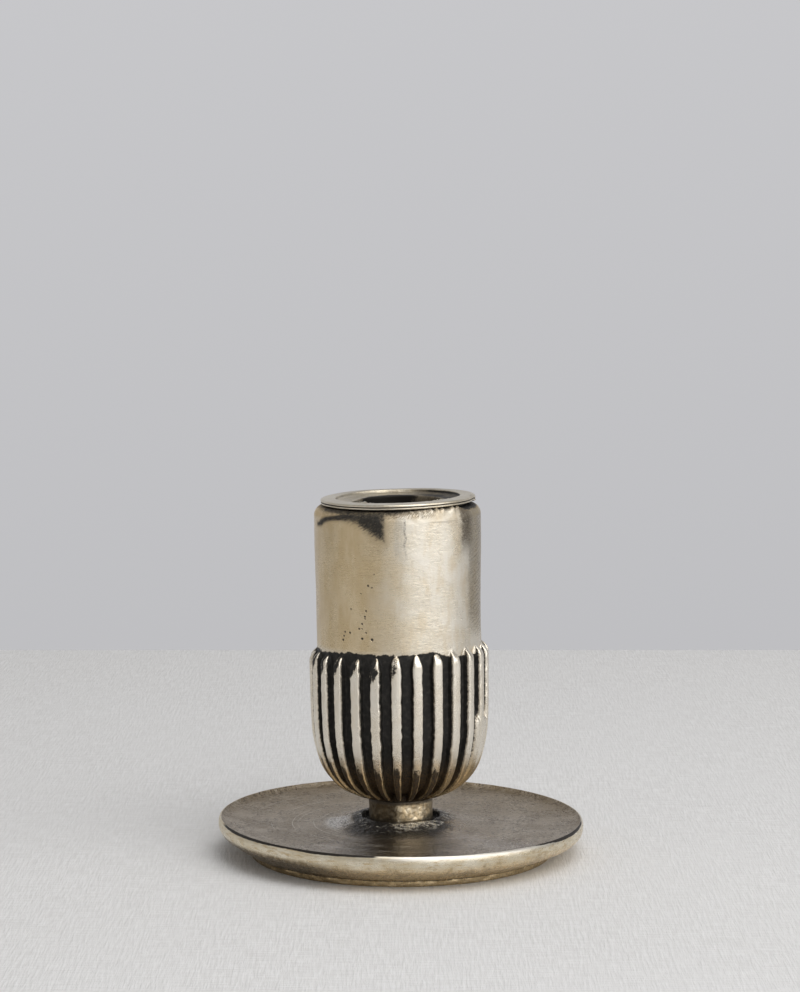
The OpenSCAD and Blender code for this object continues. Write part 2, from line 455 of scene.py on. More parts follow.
        # the mould's parting line runs up from the reed on the right side
        par = np.exp(-(wrap(ph - 82.0) / 2.3) ** 2) * step(CUP_Z + 48, CUP_Z + 33, z)
        r = r + par * 0.42 * (1 - amt)
        rings.append(ring(r, zz, ph))
        # where dark patina was left when the high places were polished
        a = wrap(ph)
        dark = 1 - step(0.34, 0.96, hh)
        # above the reeds the dark ends in a ragged line, fading out on the right
        lim = black_top(a, z)
        off = step(lim - 0.6, lim + 0.6, z)
        dark = np.where(hh > 0.5, dark, dark * (1 - off))
        tipdark = step(0.30, 0.06, bullet * hh) * (1 - off)
        dark = np.maximum(dark, tipdark * 0.9)
        dark = dark * (1 - 0.92 * fill)
        # dark smears on the crowns of the reeds left of the front, with a bright right edge
        left = step(-82, -66, a) * (1 - step(-9, 4, a))
        start = CUP_Z + 33.4 + rnd(31, -0.9, 0.9)[k] + f * 7.0
        smear = left * step(start - 1.1, start + 1.3, z) * (1 - 0.85 * step(0.07, 0.16, f + vnoise(s / 1.2, k * 4.0, 0.1, 37) * 0.09))
        smear = smear * (0.84 + 0.75 * fbm(s / 2.4, ph / 0.45, 0.9, 39))
        dark = np.maximum(dark, smear * (1 - off))
        # lower ends: dark crowns with a gold right edge, except on the right side
        lowz = z + vnoise(s / 1.5, k * 2.2, 0.7, 41) * 1.2 + (f + 0.1) * 5.0
        lowdark = step(CUP_Z + 14.0, CUP_Z + 8.0, lowz) * (1 - step(26, 50, a))
        crown = (1 - step(0.10, 0.18, f + vnoise(s / 1.1, k * 3.0, 0.3, 43) * 0.05)) * (1 - 0.5 * step(-0.14, -0.20, f))
        dark = np.maximum(dark, lowdark * crown * (0.80 + 0.30 * fbm(s / 2.2, ph / 0.6, 0.4, 45)))
        dark = np.maximum(dark, step(CUP_Z + 1.8, CUP_Z + 0.6, zz) * 0.75)
        pat.append(dark)
        rel.append(hh * bullet)
    # under the cup, then the tapped hole up to its blind end
    mid = 104
    phc = REED_0 + np.arange(mid) * 360.0 / mid
    under = []
    for r_, z_ in path([(0.001, CUP_Z + 11)], even([(3.0, CUP_Z + 10.5), (3.0, CUP_Z + 0.25)], 14), [(3.25, CUP_Z)], even([(3.25, CUP_Z), (7.3, CUP_Z)], 7)[1:]):
        under.append(ring(r_, z_, phc) if r_ > 0.01 else np.array([[0, 0, z_]]))
    ph_full = centre + PITCH * f
    join = ring(7.4, CUP_Z + 0.05, ph_full)
    rings = under + [join] + rings
    pat = [0.7] * len(under) + [0.8] + pat
    rel = [0.5] * len(under) + [0.5] + rel
    # plain sleeve on half the columns
    half_ph = ph_full[::2]
    n2 = len(half_ph)
    even_ph = half_ph[0] + np.arange(n2) * 360.0 / n2
    zs = np.linspace(CUP_Z + 38.9, SEAT_TOP - 3.2, 84)
    for j, z in enumerate(zs):
        w = step(0, 5, j)
        ph = half_ph * (1 - w) + even_ph * w
        base = np.interp(z, [CUP_Z + 38, CUP_Z + 49, CUP_Z + 62, SEAT_TOP - 3], [20.14, 20.16, 20.38, 20.40])
        x_, y_ = np.sin(np.radians(ph)), np.cos(np.radians(ph))
        bumpy = fbm(x_ * 2.1, y_ * 2.1, z / 9.0, 47) * 0.075 + vnoise(x_ * 9, y_ * 9, z / 1.6, 53) * 0.018
        par = np.exp(-(wrap(ph - 82.0) / 2.3) ** 2) * step(CUP_Z + 48, CUP_Z + 33, z)
        r = base + bumpy + par * 0.42
        rings.append(ring(r, z, ph))
        a = wrap(ph)
        lim = black_top(a, z)
        patch = 1 - step(lim - 0.6, lim + 0.6, z)
        pat.append(patch * 0.85)
        rel.append(1.0)
    # shoulder, seat and cored well
    prof = path([(20.4, SEAT_TOP - 3.12)], arc(17.75, SEAT_TOP - 3.25, 2.65, 4, 84, 14), even([(17.7, SEAT_TOP - 0.61), (16.95, SEAT_TOP - 0.60)], 3))
    for r_, z_ in prof:
        ph = even_ph
        x_, y_ = np.sin(np.radians(ph)), np.cos(np.radians(ph))
        r = r_ + fbm(x_ * 2.1, y_ * 2.1, z_ / 9.0, 47) * 0.075 + fbm(x_ * 8, y_ * 8, z_ / 2, 59) * 0.035
        z = z_ + fbm(x_ * 7, y_ * 7, 0.5, 61) * 0.03
        a = wrap(ph)
        # beads of metal left under the ring on the right of the front
        bead = np.maximum(0, vnoise(a / 2.3, z_ / 0.7, 0.8, 63) + 0.30) * step(-6, 12, a) * (1 - step(50, 56, a)) * step(SEAT_TOP - 1.9, SEAT_TOP - 1.2, z_) * (1 if r_ > 18.3 else 0)
        bead = bead * (0.40 + 0.60 * step(20, 30, a))
        r, z = r + bead * 0.34, z + bead * 0.60 + 0.22 * step(4, 22, a) * (1 - step(52, 62, a)) * (1 if 17.8 < r_ < 19.6 else 0)
        rings.append(ring(r, z, ph))
        t = step(SEAT_TOP - 2.2, SEAT_TOP - 0.5, z_)
        pat.append(np.clip(t * np.interp(a, [-180, -80, -66, -40, 0, 12, 30, 48, 58, 72, 100, 180], [0.5, 0.50, 0.56, 0.58, 0.44, 0.22, 0.12, 0.22, 0.80, 0.84, 0.5, 0.5]) + 0.22 * step(-76, -60, a) * (1 - step(-4, 14, a)), 0, 1))
        rel.append(1.0)
    n3 = 104
    ph3 = even_ph[::3]
    seat = SEAT_TOP - 0.42
    inner = path([(16.8, SEAT_TOP - 0.60), (16.8, seat), (15.65, seat), (15.5, seat - 0.15)], even([(15.5, SEAT_TOP - 1), (15.5, CUP_Z + 13.5)], 14), [(15.1, CUP_Z + 12.4), (14.2, CUP_Z + 12.0)], even([(12, CUP_Z + 12.0), (2, CUP_Z + 12.0)], 5), [(0.001, CUP_Z + 12.0)])
    for r_, z_ in inner:
        if r_ < 0.01:
            rings.append(np.array([[0, 0, z_]]))
        else:
            wob = fbm(ph3 / 14.0, z_ / 3.0, 0, 67) * 0.06 if z_ < seat - 0.5 and r_ > 10 else 0
            rings.append(ring(r_ + wob, z_, ph3))
        pat.append(0.75 if z_ < seat - 0.05 else 0.45)
        rel.append(0.5)
    return skin("reeded_cup", rings, attrs={"patina": pat, "relief": rel}, sharp=55)


# ------------------------------------------------------------------ drip dish
def make_dish():
    n = 512
    ph = np.arange(n) * 360.0 / n + 0.35
    ph4 = ph[::4]
    R, zl = DISH_R, 8.95
    bz = DISH_HI[2]
    rec = NECK_R + 1.9
    seat = NECK_LO[2]
    top = path(
        arc(rec + 0.45, bz - 0.5, 0.45, 170, 95, 4),
        even([(rec + 0.6, bz - 0.03), (rec + 1.1, bz - 0.06)], 3),
        spline([(rec + 1.1, bz - 0.06), (rec + 2.6, bz - 0.62), (rec + 4.4, bz - 1.25), (rec + 6.6, bz - 1.72), (rec + 9.5, bz - 2.02), (24, 7.25), (30, 7.2), (36, 7.4), (40, 7.62), (R - 3.0, 7.8)], 132),
        spline([(R - 3.0, 7.8), (R - 2.2, 7.90), (R - 1.55, 8.12), (R - 1.10, 8.46), (R - 0.82, zl - 0.12)], 16),
        arc(R - 0.62, zl - 0.22, 0.22, 145, 70, 5),
        spline([(R - 0.54, zl - 0.02), (R - 0.30, zl - 0.22), (R - 0.13, zl - 0.58), (R - 0.03, zl - 1.10), (R, zl - 1.65)], 14),
        spline([(R, zl - 1.65), (R - 0.07, 6.6), (R - 0.30, 5.9), (R - 0.75, 5.25), (R - 1.35, 4.72), (R - 2.1, 4.22), (R - 3.0, 3.72)], 20),
        even([(R - 3.0, 3.72), (38.05, 1.62)], 16),
        arc(37.75, 1.2, 0.42, 60, 175, 3)[::1] * [1, 0] + [0, 1.58],
        even([(37.2, 1.5), (37.2, 0.35)], 5),
        arc(36.9, 0.3, 0.3, 0, -90, 4),
        even([(36.6, 0), (33.9, 0)], 4),
        arc(33.8, 0.3, 0.3, -90, -180, 4),
        even([(33.4, 0.6), (32.95, 3.2)], 5),
        arc(32.5, 3.05, 0.45, 0, 90, 4),
        even([(32.0, 3.5), (9.4, 3.5)], 60),
    )
    inner = path(arc(9.4, 3.9, 0.4, -90, -180, 4), even([(9.0, 4.2), (9.0, 5.95)], 4), even([(8.9, 6.0), (3.4, 6.0)], 8), [(3.15, 6.15)], even([(3.15, 6.3), (3.15, seat - 0.15)], 3), [(3.4, seat)], even([(3.6, seat), (rec - 0.25, seat)], 8), [(rec, seat + 0.2)], even([(rec, seat + 0.3), (rec, bz - 0.55)], 4))
    rings, pat = [], []
    wrap = lambda p: (p + 180) % 360 - 180
    a = wrap(ph)
    x1, y1 = np.sin(np.radians(ph)), -np.cos(np.radians(ph))
    upto = len(top)
    for i, (r_, z_) in enumerate(top):
        x_, y_ = x1 * r_, y1 * r_
        r, z = np.full(n, r_), np.full(n, z_)
        on_top = z_ > 6.9 and r_ < R - 2.6 and i < 170
        under = z_ <= 3.6 and r_ < 37.0
        if on_top:
            m = step(22, 11, r_)                                         # rough cast mound
            z = z + m * (fbm(x_ / 1.1, y_ / 1.1, 0, 71, 3) * 0.20 + fbm(x_ / 3.5, y_ / 3.5, 0, 73) * 0.16)
            z = z + (1 - m) * fbm(x_ / 6, y_ / 6, 0, 79) * 0.035
            tool = math.sin(r_ * 7.4) * 0.010 + vnoise(r_ * 2.3, 0, 0, 83) * 0.022 + vnoise(r_ * 0.7, 3, 0, 89) * 0.02
            z = z + (1 - m) * tool
            if r_ < rec + 1.3:
                r = r + fbm(a / 9.0, 0.5, 0, 97, 3) * 0.28 * step(rec + 1.4, rec, r_)
        elif z_ > 4.3 and not under:
            r = r + fbm(x_ / 9, y_ / 9, z_ / 4, 101) * 0.05
            z = z + fbm(x_ / 7, y_ / 7, 0, 103) * 0.04 + fbm(x_ / 1.6, y_ / 1.6, z_, 107) * 0.015
        elif under:
            z = z + fbm(x_ / 5, y_ / 5, 0, 113) * 0.03 * step(0.2, 1.0, z_) + vnoise(r_ * 1.7, 0, 0, 117) * 0.015 * step(2, 3.4, z_)
        else:
            foot = step(2.4, 1.4, z_)
            r = r + fbm(x_ / 1.4, y_ / 1.4, z_ / 0.8, 121) * (0.03 + 0.13 * foot * step(0.05, 0.3, z_)) + fbm(x_ / 8, y_ / 8, 0, 123) * 0.05
        # the rim is a little out of true: its left side stands higher
        warp = step(26, 43, r_) * step(2.3, 4.6, z_)
        z = z - 0.0115 * x_ * warp
        rings.append(ring(r, np.maximum(z, 0), ph))
        # patina: under the near part of the mound, the inner corner of the lip, the fold above the foot
        p = np.zeros(n)
        if on_top:
            reach = 15.5 + 7.0 * np.exp(-((a + 10) / 62.0) ** 4)
            m = step(0, 8.0, reach - r_ - 2.2 * fbm(x_ / 4, y_ / 4, 0, 126))
            front = 0.5 + 0.5 * np.cos(np.radians(a + 4))
            # painted highlight: the patina is cleared from a patch left of the collar
            clear = np.exp(-((a + 86) / 24.0) ** 4) * step(11.6, 13.2, r_)
            p = m ** 0.65 * (0.34 + 0.48 * front) * (1 - 0.85 * clear) + 0.18 * step(17, 11, r_) + 0.10 * fbm(x_ / 7, y_ / 7, 0, 127)
        elif z_ > 7.7 and r_ < R - 0.7:
            p = 0.12 + 0.10 * fbm(x_ / 3, y_ / 3, 0, 128)
        elif r_ > 37 and z_ < 2.1:
            p = np.full(n, 0.26 + 0.50 * math.exp(-((z_ - 1.6) / 0.20) ** 2))
        elif under:
            p = np.full(n, 0.30)
        pat.append(np.clip(p, 0, 1))
    for r_, z_ in inner:
        w = fbm(ph4 / 9.0, 0.5, 0, 97, 3) * 0.28 * step(seat + 0.3, bz - 0.5, z_) if r_ > rec - 0.05 else 0
        rings.append(ring(r_ + w, z_, ph4))
        pat.append(0.86 if z_ > 6.4 else 0.45)
    return skin("drip_dish", rings, loop=True, attrs={"patina": pat}, sharp=50)


# ------------------------------------------------------------------ neck collar
def make_neck():
    n = 144
    ph = np.arange(n) * 360.0 / n
    lo, hi, R = NECK_LO[2], NECK_HI[2], NECK_R
    prof = path([(3.15, lo + 0.2), (3.4, lo)], even([(3.6, lo), (R - 0.6, lo)], 5), arc(R - 0.45, lo + 0.45, 0.45, -80, -5, 4), even([(R, lo + 0.55), (R - 0.02, hi - 0.5)], 26), arc(R - 0.35, hi - 0.35, 0.33, 5, 85, 4), even([(R - 0.6, hi), (3.6, hi)], 5), [(3.4, hi), (3.15, hi - 0.2)], even([(3.15, hi - 0.5), (3.15, lo + 0.5)], 6))
    rings = []
    for r_, z_ in prof:
        x_, y_ = np.sin(np.radians(ph)) * r_, np.cos(np.radians(ph)) * r_
        m = step(5.5, 7.2, r_)
        d = fbm(x_ / 1.3, y_ / 1.3, z_ / 1.3, 131, 3) * 0.13 + vnoise(x_ / 3.5, y_ / 3.5, z_ / 3.0, 133) * 0.10
        rings.append(ring(r_ + d * m + 0.10 * m, z_, ph))
    return skin("neck", rings, loop=True, sharp=45)


# ------------------------------------------------------------------ candle socket
def make_socket():
    n = 288
    ph = np.arange(n) * 360.0 / n
    fl = SEAT_TOP + 0.05                       # underside of the flange
    R = SOCK_HI[0] + 0.12
    bot = SOCK_LO[2]
    T = TOP_Z
    b = BORE_R
    tr = b + 1.6
    prof = path(
        [(0.001, bot)], even([(2, bot), (tr - 0.7, bot)], 6), arc(tr - 0.6, bot + 0.6, 0.6, -80, 0, 4),
        even([(tr, bot + 1), (tr, SEAT_TOP - 3.95)], 16), [(tr + 0.15, SEAT_TOP - 3.85)],
        even([(tr + 0.4, SEAT_TOP - 3.8), (14.75, SEAT_TOP - 3.65)], 3), [(15.1, SEAT_TOP - 3.3)],
        even([(15.1, SEAT_TOP - 3.0), (15.1, fl - 0.1)], 4), [(15.25, fl)], even([(15.5, fl), (R - 0.45, fl + 0.02)], 6),
        arc(R - 0.33, fl + 0.31, 0.30, -75, 20, 6), arc(R - 0.02, fl + 0.60, 0.11, 235, 125, 4), arc(R - 0.40, fl + 0.86, 0.42, -5, 88, 8),
        even([(R - 0.9, T - 0.06), (15.95, T - 0.015)], 7), arc(15.42, T - 0.16, 0.16, 80, 170, 4),
        spline([(15.18, T - 0.30), (14.95, T - 0.62), (14.1, T - 0.88), (13.0, T - 1.04), (11.8, T - 1.18)], 16), arc(b + 0.28, T - 1.47, 0.28, 70, 180, 4),
        even([(b, T - 1.8), (b, bot + 2.5)], 30), arc(b - 0.5, bot + 2.5, 0.5, 0, -80, 4), even([(b - 1, bot + 2), (1.5, bot + 2)], 6), [(0.001, bot + 2)])
    rings, pat = [], []
    wrap = lambda p: (p + 180) % 360 - 180
    a = wrap(ph)
    seen_top = False
    for i, (r_, z_) in enumerate(prof):
        if r_ < 0.01:
            rings.append(np.array([[0, 0, z_]]))
            pat.append(0.8)
            continue
        x_, y_ = np.sin(np.radians(ph)), np.cos(np.radians(ph))
        m = step(fl - 0.2, fl + 0.1, z_)
        wob = vnoise(x_ * 1.7, y_ * 1.7, 0.3, 137) * 0.10 + fbm(x_ * 6, y_ * 6, 0.3, 139) * 0.035
        rw = vnoise(x_ * 2.1, y_ * 2.1, 0.9, 141) * 0.10 + fbm(x_ * 9, y_ * 9, z_ * 1.5, 143) * 0.03
        k = 1.0 if r_ > 14.6 else 0.4
        # small raised burrs round the mouth
        burr = 0
        if 15.0 < r_ < 15.7 and z_ > T - 0.5:
            where = 0.06 + np.exp(-((a + 36) / 10.0) ** 4) + 0.42 * np.exp(-((a - 43) / 12.0) ** 4)
            burr = np.maximum(0, vnoise(a / 1.3, r_ * 3, 0.2, 147) + vnoise(a / 4.0, 1.0, 0.2, 148) * 0.4 + 0.05) * 0.55 * where
        # the edge is nicked and turned over at the far right
        nick = np.exp(-((a - 80) / 9.0) ** 4) * (1 if r_ > R - 1.2 else 0)
        rw = rw + nick * vnoise(a / 2.2, z_ * 2.0, 0.4, 144) * 0.35
        wob = wob + nick * vnoise(a / 2.6, z_ * 1.3, 0.6, 146) * 0.40
        rings.append(ring(r_ + rw * m * k, z_ + wob * m * k + burr, ph))
        in_bore = r_ < b + 0.2 and z_ < T - 1.2 and i > 40
        p = 0.12 + 0.22 * np.exp(-(wrap(ph - 175) / 75.0) ** 4) + 0.10 * np.exp(-((a + 62) / 22.0) ** 2)
        if in_bore:
            # darker on the back wall, left of centre, and on the right; painted shade darkens it further down the bore
            back = np.exp(-(wrap(ph - 195.5) / 38.0) ** 6)
            p = 0.30 + 0.80 * back + 0.34 * np.exp(-(wrap(ph - 128) / 34.0) ** 4) + 0.4 * step(T - 4.5, T - 12, z_) + 0.12 * fbm(ph / 6.0, z_, 0.4, 145)
        elif r_ < tr + 0.2 and i < 40:
            p = np.full(n, 0.6)
        elif r_ < 15.2 and z_ > T - 2.2 and i > 40:
            # the mouth's slope is darker on the right, and further in as painted shade
            p = 0.20 + 0.14 * step(14.6, 12.6, r_) + 0.16 * fbm(a / 9.0, r_, 0.2, 149) + 0.56 * np.exp(-((a - 108) / 50.0) ** 4) + 0.25 * step(14.8, 15.1, r_)
            # the dark reaches a little way out of the bore at the back
            reach = 12.7 - 1.2 * (wrap(ph - 190) / 36.0) ** 2 + 0.3 * vnoise(a / 5.0, 0.4, 0.1, 150)
            p = p + 0.75 * step(reach + 0.25, reach - 0.25, r_)
        elif abs(z_ - (fl + 0.60)) < 0.10 and r_ > R - 0.3:
            p = np.full(n, 0.85)
        elif z_ < fl + 0.08:
            p = np.full(n, 0.75)
        pat.append(np.clip(p, 0, 1))
    return skin("socket_ring", rings, attrs={"patina": pat}, sharp=50)


# ------------------------------------------------------------------ hidden hardware
def make_stud():
    r = STUD_HI[0]
    lo, hi = STUD_LO[2], STUD_HI[2]
    n, pitch, depth = 48, 1.0, 0.30
    ph = np.arange(n) * 360.0 / n
    steps = int((hi - lo - 1.2) / 0.125)
    zs = np.linspace(lo + 0.6, hi - 0.6, steps)
    rings = [np.array([[0, 0, lo]]), ring(r - 1.4, lo, ph), ring(r - 0.75, lo + 0.02, ph)]
    for z in zs:
        t = ((z - lo) / pitch - ph / 360.0) % 1.0
        v = np.abs(t * 2 - 1)                                # V thread
        fade = step(lo + 0.5, lo + 1.3, z) * (1 - step(hi - 1.3, hi - 0.5, z))
        rings.append(ring(r - depth - 0.25 * (1 - fade) + depth * fade * np.clip((v - 0.06) * 1.18, 0, 1), z, ph))
    rings += [ring(r - 0.75, hi - 0.02, ph), ring(r - 1.4, hi, ph), np.array([[0, 0, hi]])]
    return skin("tie_rod", rings, sharp=35)


def make_nut():
    lo, hi = NUT_LO[2], NUT_HI[2]
    af = (NUT_HI[1] - NUT_LO[1]) / 2
    n = 96
    ph = np.arange(n) * 360.0 / n
    # flats face +Y and -Y as in the frame
    rel = (ph + 30) % 60 - 30
    hexr = af / np.cos(np.radians(rel))
    rings = []
    h = hi - lo
    for z, cap in ((0, af - 0.15), (0.12, af + 0.20), (0.28, af + 0.55), (0.45, af + 2), (h / 2, af + 2), (h - 0.45, af + 2), (h - 0.28, af + 0.55), (h - 0.12, af + 0.20), (h, af - 0.15)):
        rings.append(ring(np.minimum(hexr, cap), lo + z, ph))
    top = [ring(np.full(n, r), hi, ph) for r in (4.3, 3.6)]
    bore = []
    for z in np.linspace(h - 0.35, 0.35, 20):
        t = (z - ph / 360.0) % 1.0
        bore.append(ring(3.02 + 0.22 * np.abs(t * 2 - 1), lo + z, ph))
    bottom = [ring(np.full(n, r), lo, ph) for r in (3.6, 4.3)]
    return skin("clamp_nut", rings + top + [ring(np.full(n, 3.35), hi - 0.1, ph)] + bore + [ring(np.full(n, 3.35), lo + 0.1, ph)] + bottom, loop=True, sharp=30)


def make_washer():
    lo, hi = WASH_LO[2], WASH_HI[2]
    R = WASH_HI[0]
    n = 120
    ph = np.arange(n) * 360.0 / n
    prof = path(arc(R - 0.15, lo + 0.15, 0.15, -90, 0, 4), arc(R - 0.22, hi - 0.22, 0.22, 0, 90, 5), even([(R - 0.8, hi), (3.6, hi)], 6), arc(3.3, hi - 0.1, 0.1, 90, 180, 3), [(3.2, lo + 0.1), (3.35, lo)], even([(3.7, lo), (R - 0.5, lo)], 6))
    rings = [ring(r + vnoise(ph / 25.0, z, 0, 151) * 0.015, z, ph) for r, z in prof]
    return skin("plain_washer", rings, loop=True, sharp=35)


def make_spring():
    """A split ring of square wire, its cut ends a little apart."""
    lo, hi = SPRG_LO[2], SPRG_HI[2]
    ri, ro = 3.15, SPRG_HI[0]
    n = 120
    ph = np.linspace(112, 112 + 350, n)
    c = 0.14
    sec = np.array([(ri + c, lo), (ro - c, lo), (ro, lo + c), (ro, hi - c), (ro - c, hi), (ri + c, hi), (ri, hi - c), (ri, lo + c)])
    rings = []
    for i, p in enumerate(ph):
        rings.append(ring(sec[:, 0], sec[:, 1], p))
    a, b = rings[0].mean(0, keepdims=True), rings[-1].mean(0, keepdims=True)
    return skin("lock_washer", [a] + rings + [b], sharp=35)


# ------------------------------------------------------------------ materials
DARK = (0.012, 0.011, 0.0095)          # black patina
UMBER = (0.085, 0.060, 0.034)         # thin brown patina


def mat_body():
    s = Mat("aged_brass")
    s.upright()
    pat, rel = s.attr("patina"), s.attr("relief")
    ph = s.phi()
    # ragged edge to the patina
    fine = s.noise(s.P, 2.6, 4.0, 0.65)
    coarse = s.noise(s.P, 0.75, 3.0, 0.6)
    rough_n = s.f("ADD", s.f("MULTIPLY", s.f("SUBTRACT", fine, 0.5), 0.95), s.f("MULTIPLY", s.f("SUBTRACT", coarse, 0.5), 0.35))
    broken = s.f("ADD", pat, rough_n)
    black = s.ramp(broken, 0.36, 0.58)
    halo = s.ramp(broken, 0.10, 0.52)
    # a smoky patch left on the front of the shoulder, its lower edge rubbed away in slanting strokes
    lo = s.table(ph, [(-90, 83.6), (-72, 82.0), (-66, 82.1), (-60, 83.0), (-54, 83.6), (-46, 84.0), (-38, 84.0), (-30, 83.4), (-24.5, 82.2), (-19, 81.0), (-14, 79.9), (-10, 79.3), (-6, 79.0), (-4, 79.4)])
    hi = s.table(ph, [(-90, 83.8), (-72, 83.2), (-66, 84.0), (-58, 85.0), (-46, 85.7), (-38, 86.5), (-30, 87.0), (-18, 87.2), (-9, 86.8), (-4, 86.0)])
    edge = s.f("MULTIPLY", s.f("SUBTRACT", -7.6, ph), 0.50)
    inside = s.f("MINIMUM", s.f("MINIMUM", s.f("SUBTRACT", s.z, lo), s.f("MULTIPLY", s.f("SUBTRACT", hi, s.z), 1.2)), s.f("MINIMUM", edge, s.f("MULTIPLY", s.f("ADD", ph, 73.0), 0.3)))
    slant = s.noise(s.vec(s.f("MULTIPLY_ADD", s.z, 0.55, s.f("MULTIPLY", ph, 0.11)), s.f("MULTIPLY_ADD", s.z, 2.3, s.f("MULTIPLY", ph, -0.42)), 0.0), 1.0, 4.0, 0.65)
    inside = s.f("MULTIPLY", inside, s.ramp(ph, -46.0, -28.0, 2.4, 1.0))
    swing = s.ramp(ph, -44.0, -26.0, 0.5, 3.8)
    inside = s.f("ADD", inside, s.f("MULTIPLY", s.f("SUBTRACT", slant, 0.52), s.f("MULTIPLY", swing, s.ramp(edge, 0.4, 1.6, 0.35, 1.0))))
    inside = s.f("ADD", inside, s.f("MULTIPLY", rough_n, 0.75))
    worn = s.noise(s.vec(s.f("MULTIPLY_ADD", s.z, 0.9, s.f("MULTIPLY", ph, 0.22)), s.f("MULTIPLY_ADD", s.z, 3.8, s.f("MULTIPLY", ph, -1.1)), 3.0), 1.0, 5.0, 0.72)
    keep = s.ramp(s.f("ADD", worn, s.ramp(inside, 0.6, 2.8, 0.0, 0.12)), 0.38, 0.56, 0.42, 0.98)
    rubbed = s.both(s.ramp(s.z, SEAT_TOP - 3.2, SEAT_TOP - 2.4), s.ramp(ph, -85.0, -70.0), s.ramp(ph, 25.0, 5.0))
    black = s.f("MULTIPLY", black, s.lerp(rubbed, 1.0, s.ramp(worn, 0.36, 0.52, 0.25, 1.0)))
    black = s.f("MAXIMUM", black, s.both(s.ramp(inside, 0.0, 1.2), keep))
    halo = s.f("MAXIMUM", halo, s.ramp(inside, -1.5, 0.7, 0.0, 0.9))
    # polished brass: paler where it was rubbed, browner towards the foot and in blotches
    blotch = s.noise(s.stretch(1, 1, 0.8), 0.11, 4.0, 0.6, 0.4)
    cloud = s.noise(s.stretch(1, 1, 0.35), 0.32, 4.0, 0.6)
    pale = s.mix(s.ramp(blotch, 0.35, 0.68), (0.750, 0.690, 0.580), (0.815, 0.775, 0.695))
    warm = s.mix(s.ramp(cloud, 0.42, 0.72), pale, (0.690, 0.600, 0.460))
    above = s.ramp(s.z, CUP_Z + 36.5, CUP_Z + 39.5)
    # painted reflection: the left of the sleeve is tinted tan for the warm light it reflects there
    left_reflection_tan = s.mix(s.ramp(cloud, 0.35, 0.65), (0.625, 0.492, 0.298), (0.70, 0.575, 0.385))
    warm = s.mix(s.both(above, s.ramp(s.f("ADD", ph, s.f("MULTIPLY", s.f("SUBTRACT", blotch, 0.5), 34.0)), 14.0, -26.0), s.ramp(ph, -172.0, -120.0)), warm, left_reflection_tan)
    warm = s.mix(s.f("SUBTRACT", 1.0, above), warm, s.mix(0.5, warm, (0.86, 0.81, 0.72)))
    gold = s.ramp(s.z, CUP_Z + 13.5, CUP_Z + 6.5)
    base = s.mix(s.f("MULTIPLY", gold, 0.85), warm, (0.66, 0.51, 0.285))
    # grey streak down the front of the sleeve
    wav = s.f("MULTIPLY", s.f("SUBTRACT", s.noise(s.stretch(0.1, 0.1, 0.35), 1.0, 2.0), 0.5), 5.0)
    sx = s.f("ABSOLUTE", s.f("ADD", s.f("SUBTRACT", ph, 1.6), wav))
    streak = s.f("MULTIPLY", s.ramp(sx, 5.0, 2.6), s.f("MULTIPLY", s.ramp(s.z, 72.0, 77.5), s.ramp(s.z, 85.6, 84.9)))
    streak = s.f("MULTIPLY", streak, s.ramp(s.noise(s.stretch(1.4, 1.4, 0.25), 1.0, 3.0), 0.36, 0.58, 0.35, 1.0))
    base = s.mix(s.f("MULTIPLY", streak, 0.26), base, (0.36, 0.35, 0.325))
    rim_line = s.both(s.ramp(s.f("ABSOLUTE", s.f("SUBTRACT", s.f("ADD", ph, wav), 4.9)), 1.0, 0.4), s.ramp(s.z, 74.0, 79.0), s.ramp(s.z, 85.2, 84.6), s.ramp(fine, 0.40, 0.55))
    base = s.mix(s.f("MULTIPLY", rim_line, 0.6), base, (0.17, 0.16, 0.14))
    # a dark strip runs down from the ring at the right of the front
    run = s.both(s.ramp(s.f("ADD", ph, s.f("MULTIPLY", s.f("SUBTRACT", coarse, 0.5), 7.0)), 47.0, 51.5), s.ramp(ph, 66.0, 56.0), s.ramp(s.z, 74.0, 80.5), s.ramp(fine, 0.30, 0.52, 0.55, 1.0))
    base = s.mix(s.f("MULTIPLY", run, 0.90), base, (0.085, 0.066, 0.046))
    over = s.both(s.ramp(s.z, SEAT_TOP - 2.8, SEAT_TOP - 1.6), s.ramp(worn, 0.42, 0.58), s.ramp(ph, -20.0, -8.0), s.ramp(ph, 34.0, 18.0))
    base = s.mix(s.f("MULTIPLY", over, 0.85), base, (0.15, 0.12, 0.08))
    # painted shade down the right flank of the sleeve
    right_flank_shade = s.both(s.ramp(s.f("ADD", ph, s.f("MULTIPLY", s.f("SUBTRACT", coarse, 0.5), 8.0)), 53.0, 61.0), s.ramp(ph, 90.0, 76.0), s.ramp(s.z, 55.0, 62.0), s.ramp(fine, 0.28, 0.55, 0.45, 1.0))
    base = s.mix(s.f("MULTIPLY", right_flank_shade, 0.60), base, (0.15, 0.12, 0.08))
    # chatter marks down the right side, in a band that is also painted darker as shade
    shaded_chatter_band = s.both(s.ramp(ph, 57.0, 68.0), s.ramp(s.f("ADD", ph, s.f("MULTIPLY", s.f("SUBTRACT", coarse, 0.5), 16.0)), 106.0, 80.0), s.ramp(s.z, 54.0, 58.0))
    wave = s.f("SINE", s.f("ADD", s.f("MULTIPLY_ADD", s.z, 5.6, s.f("MULTIPLY", ph, -0.62)), s.f("MULTIPLY", coarse, 5.0)))
    chat = s.both(shaded_chatter_band, s.ramp(s.f("ADD", wave, s.f("MULTIPLY", s.f("SUBTRACT", fine, 0.5), 2.2)), 0.10, 0.75), s.ramp(s.z, 84.0, 80.0), s.ramp(ph, 88.0, 76.0), s.ramp(worn, 0.36, 0.56, 0.25, 1.0))
    # painted shade over the whole chatter band
    base = s.mix(s.f("MULTIPLY", shaded_chatter_band, 0.52), base, (0.40, 0.34, 0.24))
    base = s.mix(s.f("MULTIPLY", chat, 0.62), base, (0.14, 0.115, 0.075))
